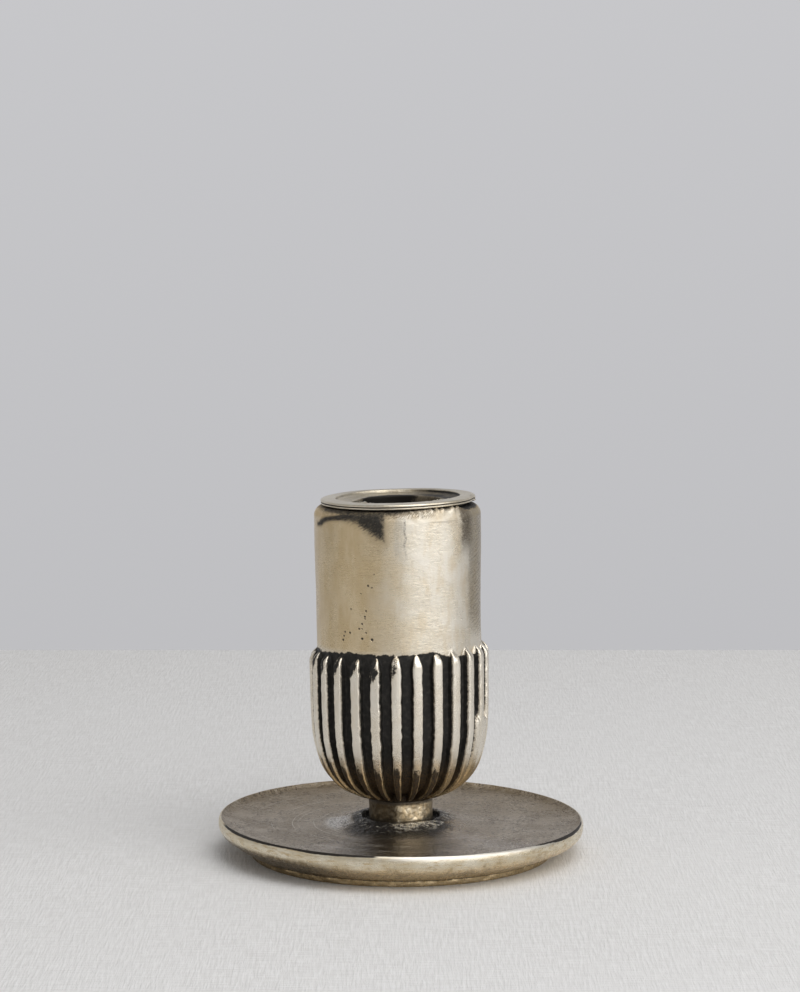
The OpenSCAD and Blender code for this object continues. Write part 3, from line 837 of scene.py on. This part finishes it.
    # brush marks run round the sleeve, lengthwise on the reeds
    lines_h = s.noise(s.stretch(0.35, 0.35, 6.5), 1.0, 4.0, 0.7)
    lines_v = s.noise(s.stretch(4.5, 4.5, 0.55), 1.0, 4.0, 0.7)
    lines = s.lerp(above, lines_v, lines_h)
    scratch = s.ramp(s.noise(s.v("MULTIPLY", s.v("ADD", s.P, (3, 9, 0)), (0.9, 0.9, 10.0)), 1.0, 2.0, 0.5), 0.60, 0.66)
    base = s.mix(s.f("MULTIPLY", s.f("SUBTRACT", lines, 0.35), 0.55, clamp=True), base, (0.50, 0.41, 0.28))
    col = s.mix(s.f("MULTIPLY", halo, 0.55), base, (0.30, 0.235, 0.15))
    dirt_and_shade = s.mix(s.ramp(s.noise(s.P, 0.9, 3.0), 0.45, 0.70), DARK, (0.032, 0.029, 0.025))
    dirt_and_shade = s.mix(s.f("MULTIPLY", s.ramp(s.z, CUP_Z + 14.0, CUP_Z + 5.0), s.ramp(fine, 0.38, 0.58)), dirt_and_shade, (0.095, 0.060, 0.027))
    col = s.mix(black, col, dirt_and_shade)
    # casting pits, most of them low on the left of the front
    pits = None
    for phx, zz, rad in PITS:
        a = math.radians(phx)
        q = (20.22 * math.sin(a), -20.22 * math.cos(a), zz - 20.2 * math.sin(a) * math.sin(LEAN))
        d = s.v("DISTANCE", s.P, q)
        m = s.ramp(s.f("ADD", d, s.f("MULTIPLY", s.f("SUBTRACT", fine, 0.5), 0.22)), rad * 1.30, rad * 0.55)
        pits = m if pits is None else s.f("MAXIMUM", pits, m)
    spots = s.f("MULTIPLY", s.ramp(s.cells(s.v("ADD", s.P, s.v("SCALE", s.vec(fine, coarse, fine), scale=0.5)), 0.42), 0.13, 0.07), s.ramp(s.noise(s.P, 0.17, 2.0), 0.60, 0.66))
    away = s.f("SUBTRACT", 1.0, s.both(s.ramp(ph, -80.0, -70.0), s.ramp(ph, 80.0, 70.0)))
    pits = s.f("MAXIMUM", pits, s.both(spots, above, away))
    col = s.mix(pits, col, (0.022, 0.017, 0.012))
    metal = s.f("SUBTRACT", 1.0, s.f("MULTIPLY", s.f("MAXIMUM", black, pits), 0.80))
    rough = s.f("ADD", 0.27, s.f("MULTIPLY", s.f("SUBTRACT", lines, 0.5), 0.30))
    rough = s.f("ADD", rough, s.f("MULTIPLY", s.ramp(blotch, 0.4, 0.7), 0.07))
    rough = s.f("ADD", rough, s.f("MULTIPLY", halo, 0.16))
    round_over = s.ramp(s.z, SEAT_TOP - 3.4, SEAT_TOP - 2.2)
    rough = s.f("ADD", rough, s.both(round_over, s.ramp(coarse, 0.34, 0.60, 0.12, 0.36)))
    rough = s.lerp(black, rough, s.f("ADD", 0.42, s.f("MULTIPLY", fine, 0.3)))
    h = s.f("MULTIPLY", lines, 0.35)
    h = s.f("ADD", h, s.f("MULTIPLY", s.noise(s.stretch(0.8, 0.8, 1.5), 1.0, 3.0, 0.6), 0.8))
    h = s.f("SUBTRACT", h, s.f("MULTIPLY", scratch, 0.10))
    h = s.f("SUBTRACT", h, s.f("MULTIPLY", chat, 1.3))
    h = s.f("ADD", h, s.both(s.noise(s.stretch(1.25, 1.25, 2.1), 1.0, 4.0, 0.6, 0.6), s.ramp(ph, -6.0, 20.0), s.ramp(ph, 174.0, 130.0), above, 0.9))
    h = s.f("ADD", h, s.f("MULTIPLY", s.f("MULTIPLY", black, s.noise(s.P, 3.2, 4.0, 0.7)), 1.2))
    h = s.f("SUBTRACT", h, s.f("MULTIPLY", pits, 2.6))
    h = s.f("ADD", h, s.both(round_over, s.noise(s.P, 1.2, 4.0, 0.7), 2.6))
    nrm = s.bump(h, 0.075)
    return s.finish(col, rough, metal, nrm, Specular_IOR_Level=0.35)


def mat_dish():
    s = Mat("turned_brass")
    pat = s.attr("patina")
    r = s.radius()
    fine = s.noise(s.P, 3.0, 4.0, 0.7)
    mid = s.noise(s.P, 0.9, 4.0, 0.62)
    wide = s.noise(s.P, 0.12, 3.0, 0.6, 0.3)
    up = s.f("MULTIPLY", s.ramp(s.z, 6.6, 6.95), s.ramp(r, DISH_R - 0.60, DISH_R - 0.72))
    broken = s.f("ADD", pat, s.f("ADD", s.f("MULTIPLY", s.f("SUBTRACT", mid, 0.5), 0.55), s.f("MULTIPLY", s.f("SUBTRACT", fine, 0.5), 0.55)))
    black = s.ramp(broken, 0.38, 0.76)
    thin = s.ramp(broken, 0.15, 0.6)
    # tool rings: lines of constant radius, wandering slightly
    rw = s.f("ADD", r, s.f("MULTIPLY", wide, 0.5))
    ringn = s.noise(s.vec(s.f("MULTIPLY", rw, 2.7), s.f("MULTIPLY", s.x, 0.012), s.f("MULTIPLY", s.y, 0.012)), 1.0, 4.0, 0.75)
    ringf = s.noise(s.vec(s.f("MULTIPLY", rw, 9.0), s.f("MULTIPLY", s.x, 0.03), s.f("MULTIPLY", s.y, 0.03)), 1.0, 3.0, 0.7)
    rings = s.f("ADD", s.f("MULTIPLY", ringn, 0.6), s.f("MULTIPLY", ringf, 0.4))
    # a few deeper rings half way out, strongest on the left
    deep = None
    for rr, w in ((17.9, 0.16), (19.0, 0.14), (20.2, 0.13), (21.6, 0.16), (25.4, 0.20), (26.8, 0.12), (30.9, 0.20), (31.9, 0.13), (37.6, 0.10)):
        m = s.ramp(s.f("ABSOLUTE", s.f("SUBTRACT", rw, rr + 0.25)), w, w * 0.3)
        deep = m if deep is None else s.f("MAXIMUM", deep, m)
    deep = s.both(deep, s.ramp(mid, 0.36, 0.56, 0.25, 1.0), s.ramp(s.x, 12.0, -6.0, 0.12, 1.0))
    arcs = s.ramp(s.noise(s.vec(s.f("MULTIPLY", rw, 1.1), s.f("MULTIPLY", s.x, 0.06), s.f("MULTIPLY", s.y, 0.06)), 1.0, 2.0, 0.5), 0.42, 0.58)
    ph = s.phi()
    # dull tarnished floor
    floor = s.mix(s.ramp(wide, 0.36, 0.66), (0.300, 0.240, 0.170), (0.470, 0.405, 0.325))
    far_side = s.ramp(s.f("ADD", s.y, s.f("MULTIPLY", s.f("SUBTRACT", mid, 0.5), 14.0)), -6.0, 22.0)
    floor = s.mix(s.f("MULTIPLY", far_side, 0.55), floor, (0.400, 0.315, 0.205))
    # painted highlight: a pale patch on the floor left of the mound stands for a bright reflection
    pale = s.both(s.ramp(s.f("ABSOLUTE", s.f("ADD", ph, 82.0)), 32.0, 10.0), s.ramp(s.f("ABSOLUTE", s.f("SUBTRACT", r, 15.6)), 4.2, 1.6))
    floor = s.mix(s.f("MULTIPLY", pale, 0.85), floor, (0.80, 0.78, 0.745))
    speckle = s.noise(s.P, 0.95, 4.0, 0.85)
    blot = s.ramp(s.noise(s.P, 0.16, 3.0, 0.65), 0.36, 0.58, 0.25, 1.0)
    floor = s.mix(s.both(s.ramp(speckle, 0.51, 0.60), blot, 0.85), floor, (0.110, 0.082, 0.054))
    floor = s.mix(s.both(s.ramp(speckle, 0.46, 0.37), blot, 0.60), floor, (0.66, 0.605, 0.52))
    # painted highlight: the deeper rings are painted pale, most on the left, for the light they catch
    floor = s.mix(s.both(deep, arcs, 0.95), floor, (0.74, 0.70, 0.62))
    # polished outer lip and under-side
    gold = s.mix(s.ramp(wide, 0.38, 0.64), (0.665, 0.585, 0.435), (0.755, 0.695, 0.565))
    gold = s.mix(s.ramp(s.noise(s.stretch(0.4, 0.4, 2.0), 1.0, 4.0), 0.46, 0.72), gold, (0.55, 0.435, 0.27))
    low = s.ramp(s.z, 7.0, 3.2)
    gold = s.mix(s.f("MULTIPLY", low, 0.85), gold, (0.70, 0.52, 0.285))
    # painted light: the under-side is painted much brighter on the right of the front, lifting it out of its shade
    gold = s.mix(s.both(s.ramp(s.z, 4.8, 3.2), s.ramp(ph, -30.0, 6.0), 0.75), gold, (0.99, 0.83, 0.56))
    # painted highlight: the top of the lip is painted paler on the right, for the neutral light it reflects
    gold = s.mix(s.both(s.ramp(ph, -10.0, 4.0), s.ramp(ph, 110.0, 70.0), s.ramp(s.z, 7.6, 8.4), 0.8), gold, (0.74, 0.715, 0.665))
    smoky = s.both(s.ramp(ph, -14.0, -36.0), s.ramp(ph, -120.0, -95.0), s.ramp(s.z, 7.0, 5.9), s.ramp(mid, 0.30, 0.55, 0.5, 1.0))
    gold = s.mix(s.f("MULTIPLY", smoky, 0.85), gold, (0.13, 0.092, 0.048))
    stain = s.both(s.ramp(s.noise(s.stretch(0.45, 0.45, 0.12), 1.0, 4.0, 0.6), 0.50, 0.66), s.ramp(s.z, 7.2, 5.6))
    gold = s.mix(s.f("MULTIPLY", stain, 0.45), gold, (0.27, 0.20, 0.11))
    footc = s.ramp(s.z, 1.9, 1.5)
    gold = s.mix(s.f("MULTIPLY", footc, 0.7), gold, (0.42, 0.315, 0.175))
    base = s.mix(up, gold, floor)
    pitn = s.cells(s.v("ADD", s.P, s.v("SCALE", s.vec(mid, fine, mid), scale=0.8)), 1.25)
    pits = s.both(s.ramp(pitn, s.lerp(up, 0.22, 0.36), s.lerp(up, 0.10, 0.18)), s.ramp(s.noise(s.P, 0.16, 3.0), 0.42, 0.58), s.lerp(up, 0.35, 1.0))
    grain = s.noise(s.stretch(2.2, 2.2, 2.2), 1.0, 5.0, 0.75)
    patchy = s.ramp(s.noise(s.P, 0.20, 3.0, 0.6), 0.40, 0.62, 0.35, 1.0)
    # the thin patina is lifted under the painted highlight
    thin = s.f("MULTIPLY", thin, s.f("SUBTRACT", 1.0, s.f("MULTIPLY", pale, 0.8)))
    col = s.mix(s.f("MULTIPLY", thin, 0.62), base, (0.105, 0.085, 0.062))
    col = s.mix(black, col, (0.026, 0.022, 0.018))
    col = s.mix(s.f("MULTIPLY", pits, 0.75), col, (0.05, 0.04, 0.03))
    col = s.mix(s.both(s.ramp(grain, 0.54, 0.66), up, patchy, 0.45), col, (0.085, 0.066, 0.045))
    # rubbed high specks on the rough mound, most of them in front of the collar
    front = s.both(s.ramp(ph, -24.0, -4.0), s.ramp(ph, 64.0, 40.0), s.ramp(r, 14.6, 11.6))
    speck = s.ramp(s.f("ADD", s.noise(s.stretch(0.8, 1.6, 1.0), 0.8, 5.0, 0.68, 0.4), s.f("MULTIPLY", front, 0.14)), 0.55, 0.66)
    speck = s.both(speck, s.ramp(r, 16.5, 10.5), 0.95)
    col = s.mix(speck, col, (0.86, 0.81, 0.70))
    black = s.f("MULTIPLY", black, s.f("SUBTRACT", 1.0, speck))
    level = s.f("ADD", s.f("MULTIPLY_ADD", s.x, 0.0115, s.z), s.f("MULTIPLY", s.f("SUBTRACT", mid, 0.5), 0.30))
    lowest = s.table(ph, [(-76, 8.70), (-68, 8.50), (-58, 8.38), (-46, 8.42), (-36, 8.55), (-28, 8.38), (-18, 8.46), (-8, 8.62), (40, 8.90), (48, 8.74), (54, 8.56), (62, 8.28), (72, 8.40), (82, 8.72), (90, 8.85)])
    crest = s.both(s.ramp(r, DISH_R - 0.70, DISH_R - 0.62), s.ramp(s.f("SUBTRACT", level, lowest), 0.0, 0.07), s.f("MAXIMUM", s.both(s.ramp(ph, -77.0, -72.0), s.ramp(ph, -6.5, -8.5)), s.both(s.ramp(ph, 41.0, 45.0), s.ramp(ph, 88.0, 82.0))))
    black = s.f("MAXIMUM", black, crest)
    col = s.mix(crest, col, (0.024, 0.020, 0.016))
    metal = s.lerp(black, 0.96, 0.55)
    glossy = s.both(s.ramp(ph, -44.0, -30.0), s.ramp(ph, 60.0, 44.0), s.ramp(r, 12.0, 16.0))
    rough = s.lerp(up, s.ramp(s.z, 7.6, 8.5, 0.28, 0.40), s.f("MULTIPLY_ADD", glossy, -0.18, 0.31))
    rough = s.f("ADD", rough, s.f("MULTIPLY", s.f("SUBTRACT", mid, 0.5), 0.25))
    rough = s.f("ADD", rough, s.both(black, s.ramp(r, 22.0, 30.0), 0.12))
    rough = s.f("SUBTRACT", rough, s.both(s.ramp(r, 19.0, 13.0), up, 0.10))
    h = s.both(rings, up, s.f("MULTIPLY_ADD", glossy, -1.4, 2.6))
    h = s.f("SUBTRACT", h, s.both(deep, arcs, 1.2))
    h = s.f("ADD", h, s.f("MULTIPLY", s.noise(s.P, 1.3, 5.0, 0.75), s.lerp(up, 0.4, s.f("MULTIPLY_ADD", glossy, -1.6, 3.4))))
    h = s.f("SUBTRACT", h, s.f("MULTIPLY", pits, 0.9))
    h = s.f("ADD", h, s.f("MULTIPLY", s.f("MULTIPLY", s.ramp(r, 19, 11), s.noise(s.P, 0.9, 5.0, 0.72)), 8.0))
    nrm = s.bump(h, 0.085)
    return s.finish(col, rough, metal, nrm)


def mat_neck():
    s = Mat("cast_brass")
    fine = s.noise(s.P, 2.4, 4.0, 0.7)
    mid = s.noise(s.P, 0.8, 4.0, 0.6)
    cell = s.cells(s.v("ADD", s.P, s.v("SCALE", s.vec(mid, fine, mid), scale=0.9)), 0.85)
    col = s.mix(s.ramp(mid, 0.36, 0.66), (0.74, 0.60, 0.39), (0.90, 0.80, 0.61))
    # painted shade: darker at the top where the collar runs in under the cup, and darker at its foot
    edge = s.ramp(s.z, NECK_HI[2] - 1.7, NECK_HI[2] - 0.3)
    foot = s.ramp(s.z, NECK_LO[2] + 1.7, NECK_LO[2] + 0.7)
    dirt_and_shade = s.f("ADD", s.f("MAXIMUM", edge, foot), s.f("MULTIPLY", s.f("SUBTRACT", fine, 0.5), 0.8))
    d = s.ramp(dirt_and_shade, 0.35, 0.95)
    col = s.mix(s.f("MULTIPLY", s.ramp(cell, 0.42, 0.70), 0.5), col, (0.20, 0.145, 0.08))
    # painted shade: the collar is darkened all round except on the right of the front, a painted reflection of the dark
    # dish on its left and back
    ph = s.f("ADD", s.phi(), s.f("MULTIPLY", s.f("SUBTRACT", mid, 0.5), 30.0))
    left_shade = s.f("SUBTRACT", 1.0, s.both(s.ramp(ph, -12.0, 0.0), s.ramp(ph, 80.0, 50.0, 0.35, 1.0), s.ramp(ph, 170.0, 120.0)))
    col = s.mix(s.f("MULTIPLY", left_shade, 0.88), col, (0.075, 0.055, 0.032))
    # painted shade at the top and foot of the collar
    col = s.mix(s.f("MULTIPLY", d, 0.9), col, (0.05, 0.038, 0.025))
    rough = s.f("ADD", s.f("MULTIPLY_ADD", left_shade, 0.12, 0.24), s.f("MULTIPLY", mid, 0.22))
    metal = s.f("SUBTRACT", 1.0, s.f("MULTIPLY", d, 0.6))
    h = s.f("ADD", s.f("MULTIPLY", s.f("SUBTRACT", 1.0, cell), 1.1), s.f("MULTIPLY", fine, 0.6))
    return s.finish(col, rough, metal, s.bump(h, 0.10))


def mat_socket():
    s = Mat("polished_brass")
    pat = s.attr("patina")
    r = s.radius()
    fine = s.noise(s.P, 2.8, 4.0, 0.65)
    mid = s.noise(s.P, 0.6, 4.0, 0.6)
    broken = s.f("ADD", pat, s.f("ADD", s.f("MULTIPLY", s.f("SUBTRACT", mid, 0.5), 0.35), s.f("MULTIPLY", s.f("SUBTRACT", fine, 0.5), 0.45)))
    black = s.ramp(broken, 0.48, 0.92)
    thin = s.ramp(broken, 0.12, 0.62)
    rings = s.noise(s.vec(s.f("MULTIPLY", r, 5.5), s.f("MULTIPLY", s.x, 0.04), s.f("MULTIPLY", s.z, 5.0)), 1.0, 4.0, 0.7)
    col = s.mix(s.ramp(mid, 0.35, 0.68), (0.64, 0.575, 0.45), (0.74, 0.69, 0.585))
    col = s.mix(s.f("MULTIPLY", s.ramp(rings, 0.48, 0.72), 0.4), col, (0.46, 0.40, 0.29))
    col = s.mix(s.f("MULTIPLY", thin, 0.78), col, (0.16, 0.125, 0.08))
    col = s.mix(black, col, (0.014, 0.012, 0.010))
    ph = s.phi()
    chips = s.both(s.ramp(s.f("ABSOLUTE", s.f("ADD", ph, 35.0)), 13.0, 8.0), s.ramp(s.f("ABSOLUTE", s.f("SUBTRACT", r, 15.3)), 0.75, 0.45), s.ramp(s.noise(s.P, 1.6, 3.0, 0.7), 0.46, 0.56))
    col = s.mix(chips, col, (0.95, 0.95, 0.93))
    metal = s.lerp(black, 1.0, 0.35)
    rough = s.f("ADD", 0.24, s.f("MULTIPLY", rings, 0.14))
    rough = s.f("ADD", rough, s.f("MULTIPLY", thin, 0.2))
    h = s.f("ADD", s.f("MULTIPLY", rings, 0.7), s.f("MULTIPLY", s.noise(s.P, 1.3, 4.0, 0.65), 0.9))
    return s.finish(col, rough, metal, s.bump(h, 0.05), Specular_IOR_Level=0.2)


def mat_steel(name, col_a, col_b, rough0):
    s = Mat(name)
    fine = s.noise(s.P, 3.5, 3.0, 0.6)
    mid = s.noise(s.P, 1.1, 4.0, 0.6)
    cell = s.cells(s.P, 1.6)
    col = s.mix(s.ramp(mid, 0.38, 0.65), col_a, col_b)
    col = s.mix(s.f("MULTIPLY", s.ramp(cell, 0.20, 0.55), 0.22), col, tuple(c * 0.7 for c in col_a))
    grime = s.ramp(s.f("ADD", mid, s.f("MULTIPLY", fine, 0.5)), 0.86, 1.02)
    col = s.mix(s.f("MULTIPLY", grime, 0.7), col, (0.10, 0.075, 0.045))
    rough = s.f("ADD", rough0, s.f("MULTIPLY", mid, 0.22))
    h = s.f("ADD", fine, s.f("MULTIPLY", s.noise(s.stretch(1, 1, 7), 0.8, 3.0), 0.8))
    return s.finish(col, rough, s.f("SUBTRACT", 1.0, s.f("MULTIPLY", grime, 0.4)), s.bump(h, 0.03))


# casting pits on the sleeve: degrees from the front, height, radius, in mm
PITS = [(-20.8, 68.9, 0.29), (-18.0, 68.5, 0.20), (-26.1, 66.9, 0.17), (-34.2, 63.0, 0.18), (-22.6, 62.8, 0.22), (-23.4, 61.4, 0.24), (-23.4, 60.9, 0.20),
        (-25.7, 59.6, 0.25), (-28.0, 58.4, 0.25), (-25.7, 58.4, 0.20), (-22.8, 57.5, 0.24), (-39.7, 57.3, 0.25), (-35.4, 57.2, 0.27), (-40.7, 56.3, 0.24),
        (-41.6, 55.3, 0.28), (-25.8, 56.0, 0.32), (-18.5, 55.9, 0.36), (-16.4, 71.7, 0.17), (14.0, 80.5, 0.16), (17.5, 81.9, 0.14), (11.5, 79.5, 0.09),
        (20.0, 79.0, 0.12), (-6.4, 80.8, 0.13)]


# ------------------------------------------------------------------ the object
body = make_body()
lean_about(body, CUP_Z, LEAN)
use(body, mat_body(), "holder", "fluted_body")

dish = make_dish()
use(dish, mat_dish(), "holder", "base_dish")

neck = make_neck()
use(neck, mat_neck(), "holder", "neck_collar")

sock = make_socket()
pivot = Matrix.Translation((0, 0, (SEAT_TOP + 0.16) / 1000))
lean_about(sock, CUP_Z, LEAN, pivot @ Matrix.Rotation(-SOCK_TILT, 4, "Y") @ pivot.inverted() @ Matrix.Translation((0.0001, 0, -0.00019)))
use(sock, mat_socket(), "socket", "candle_socket")

zinc = mat_steel("zinc_steel", (0.60, 0.60, 0.59), (0.70, 0.71, 0.72), 0.24)
use(make_stud(), zinc, "holder", "tie_stud")
use(make_nut(), zinc, "holder", "hex_nut")
use(make_washer(), zinc, "holder", "flat_washer")
use(make_spring(), mat_steel("spring_steel", (0.22, 0.22, 0.23), (0.32, 0.32, 0.33), 0.30), "holder", "spring_washer")


# ------------------------------------------------------------------ stage
def plane(name, pts, mat):
    me = bpy.data.meshes.new(name)
    me.from_pydata(pts, [], [(0, 1, 2, 3)])
    me.materials.append(mat)
    ob = bpy.data.objects.new(name, me)
    bpy.context.scene.collection.objects.link(ob)
    return ob


def mat_floor():
    s = Mat("pale_cloth")
    wx = s.noise(s.stretch(0.12, 1.5, 1), 1.0, 3.0, 0.6)
    wy = s.noise(s.stretch(1.5, 0.12, 1), 1.0, 3.0, 0.6)
    weave = s.f("ADD", wx, wy)
    soft = s.noise(s.P, 0.02, 3.0, 0.5)
    col = s.mix(s.ramp(weave, 0.75, 1.3), (0.690, 0.686, 0.682), (0.790, 0.789, 0.790))
    col = s.mix(s.f("MULTIPLY", s.ramp(soft, 0.35, 0.65), 0.4), col, (0.740, 0.738, 0.738))
    return s.finish(col, 0.95, 0.0, s.bump(weave, 0.25), Specular_IOR_Level=0.1)


def mat_wall():
    m = bpy.data.materials.new("pale_wall")
    m.use_nodes = True
    t = m.node_tree
    t.nodes.clear()
    out = t.nodes.new("ShaderNodeOutputMaterial")
    em = t.nodes.new("ShaderNodeEmission")
    tc = t.nodes.new("ShaderNodeTexCoord")
    sep = t.nodes.new("ShaderNodeSeparateXYZ")
    mr = t.nodes.new("ShaderNodeMapRange")
    mx = t.nodes.new("ShaderNodeMix")
    mx.data_type = "RGBA"
    t.links.new(tc.outputs["Object"], sep.inputs[0])
    t.links.new(sep.outputs[2], mr.inputs[0])
    mr.inputs[1].default_value = -0.35
    mr.inputs[2].default_value = 0.30
    t.links.new(mr.outputs[0], mx.inputs[0])
    mx.inputs[6].default_value = (0.505, 0.505, 0.522, 1)
    mx.inputs[7].default_value = (0.570, 0.570, 0.588, 1)
    t.links.new(mx.outputs[2], em.inputs[0])
    em.inputs[1].default_value = 1.0
    t.links.new(em.outputs[0], out.inputs[0])
    return m


plane("floor", [(-1.6, -1.6, 0), (1.6, -1.6, 0), (1.6, 0.308, 0), (-1.6, 0.308, 0)], mat_floor())
plane("backdrop", [(-2.6, 1.5, -1.2), (2.6, 1.5, -1.2), (2.6, 1.5, 2.0), (-2.6, 1.5, 2.0)], mat_wall())


def area(name, loc, target, size, watts, color=(1, 1, 1)):
    li = bpy.data.lights.new(name, "AREA")
    li.shape = "RECTANGLE"
    li.size, li.size_y = size
    li.energy = watts
    li.color = color
    ob = bpy.data.objects.new(name, li)
    bpy.context.scene.collection.objects.link(ob)
    ob.location = loc
    ob.rotation_euler = (Vector(target) - Vector(loc)).to_track_quat("-Z", "Y").to_euler()
    return ob


def at(az, el, dist, h0=0.05):
    """A place at az degrees from the front towards the right, el up, dist away."""
    a, e = math.radians(az), math.radians(el)
    return (dist * math.sin(a) * math.cos(e), -dist * math.cos(a) * math.cos(e), h0 + dist * math.sin(e))


C = (0, 0, 0.05)
area("key", at(44, 24, 1.2), C, (1.95, 1.1), 10.0, (1.0, 0.99, 0.98))
area("fill", at(-70, 20, 1.4), C, (1.3, 1.0), 1.2, (1.0, 0.95, 0.88))
area("top", at(30, 66, 1.3), C, (1.0, 1.0), 8.0, (1.0, 0.995, 0.99))

w = bpy.data.worlds.new("room")
bpy.context.scene.world = w
w.use_nodes = True
w.node_tree.nodes["Background"].inputs[0].default_value = (0.80, 0.79, 0.775, 1)
w.node_tree.nodes["Background"].inputs[1].default_value = 0.38

# ------------------------------------------------------------------ camera
cam = bpy.data.objects.new("camera", bpy.data.cameras.new("camera"))
bpy.context.scene.collection.objects.link(cam)
cam.data.sensor_width = 36.0
cam.data.lens = 105.695
cam.location = (-0.00024, -0.7073, 0.1659)
cam.rotation_euler = (math.radians(90 - 6.253), 0, 0)
cam.data.clip_start, cam.data.clip_end = 0.01, 20
bpy.context.scene.camera = cam
bpy.context.scene.view_settings.view_transform = "Standard"
bpy.context.scene.view_settings.look = "None"
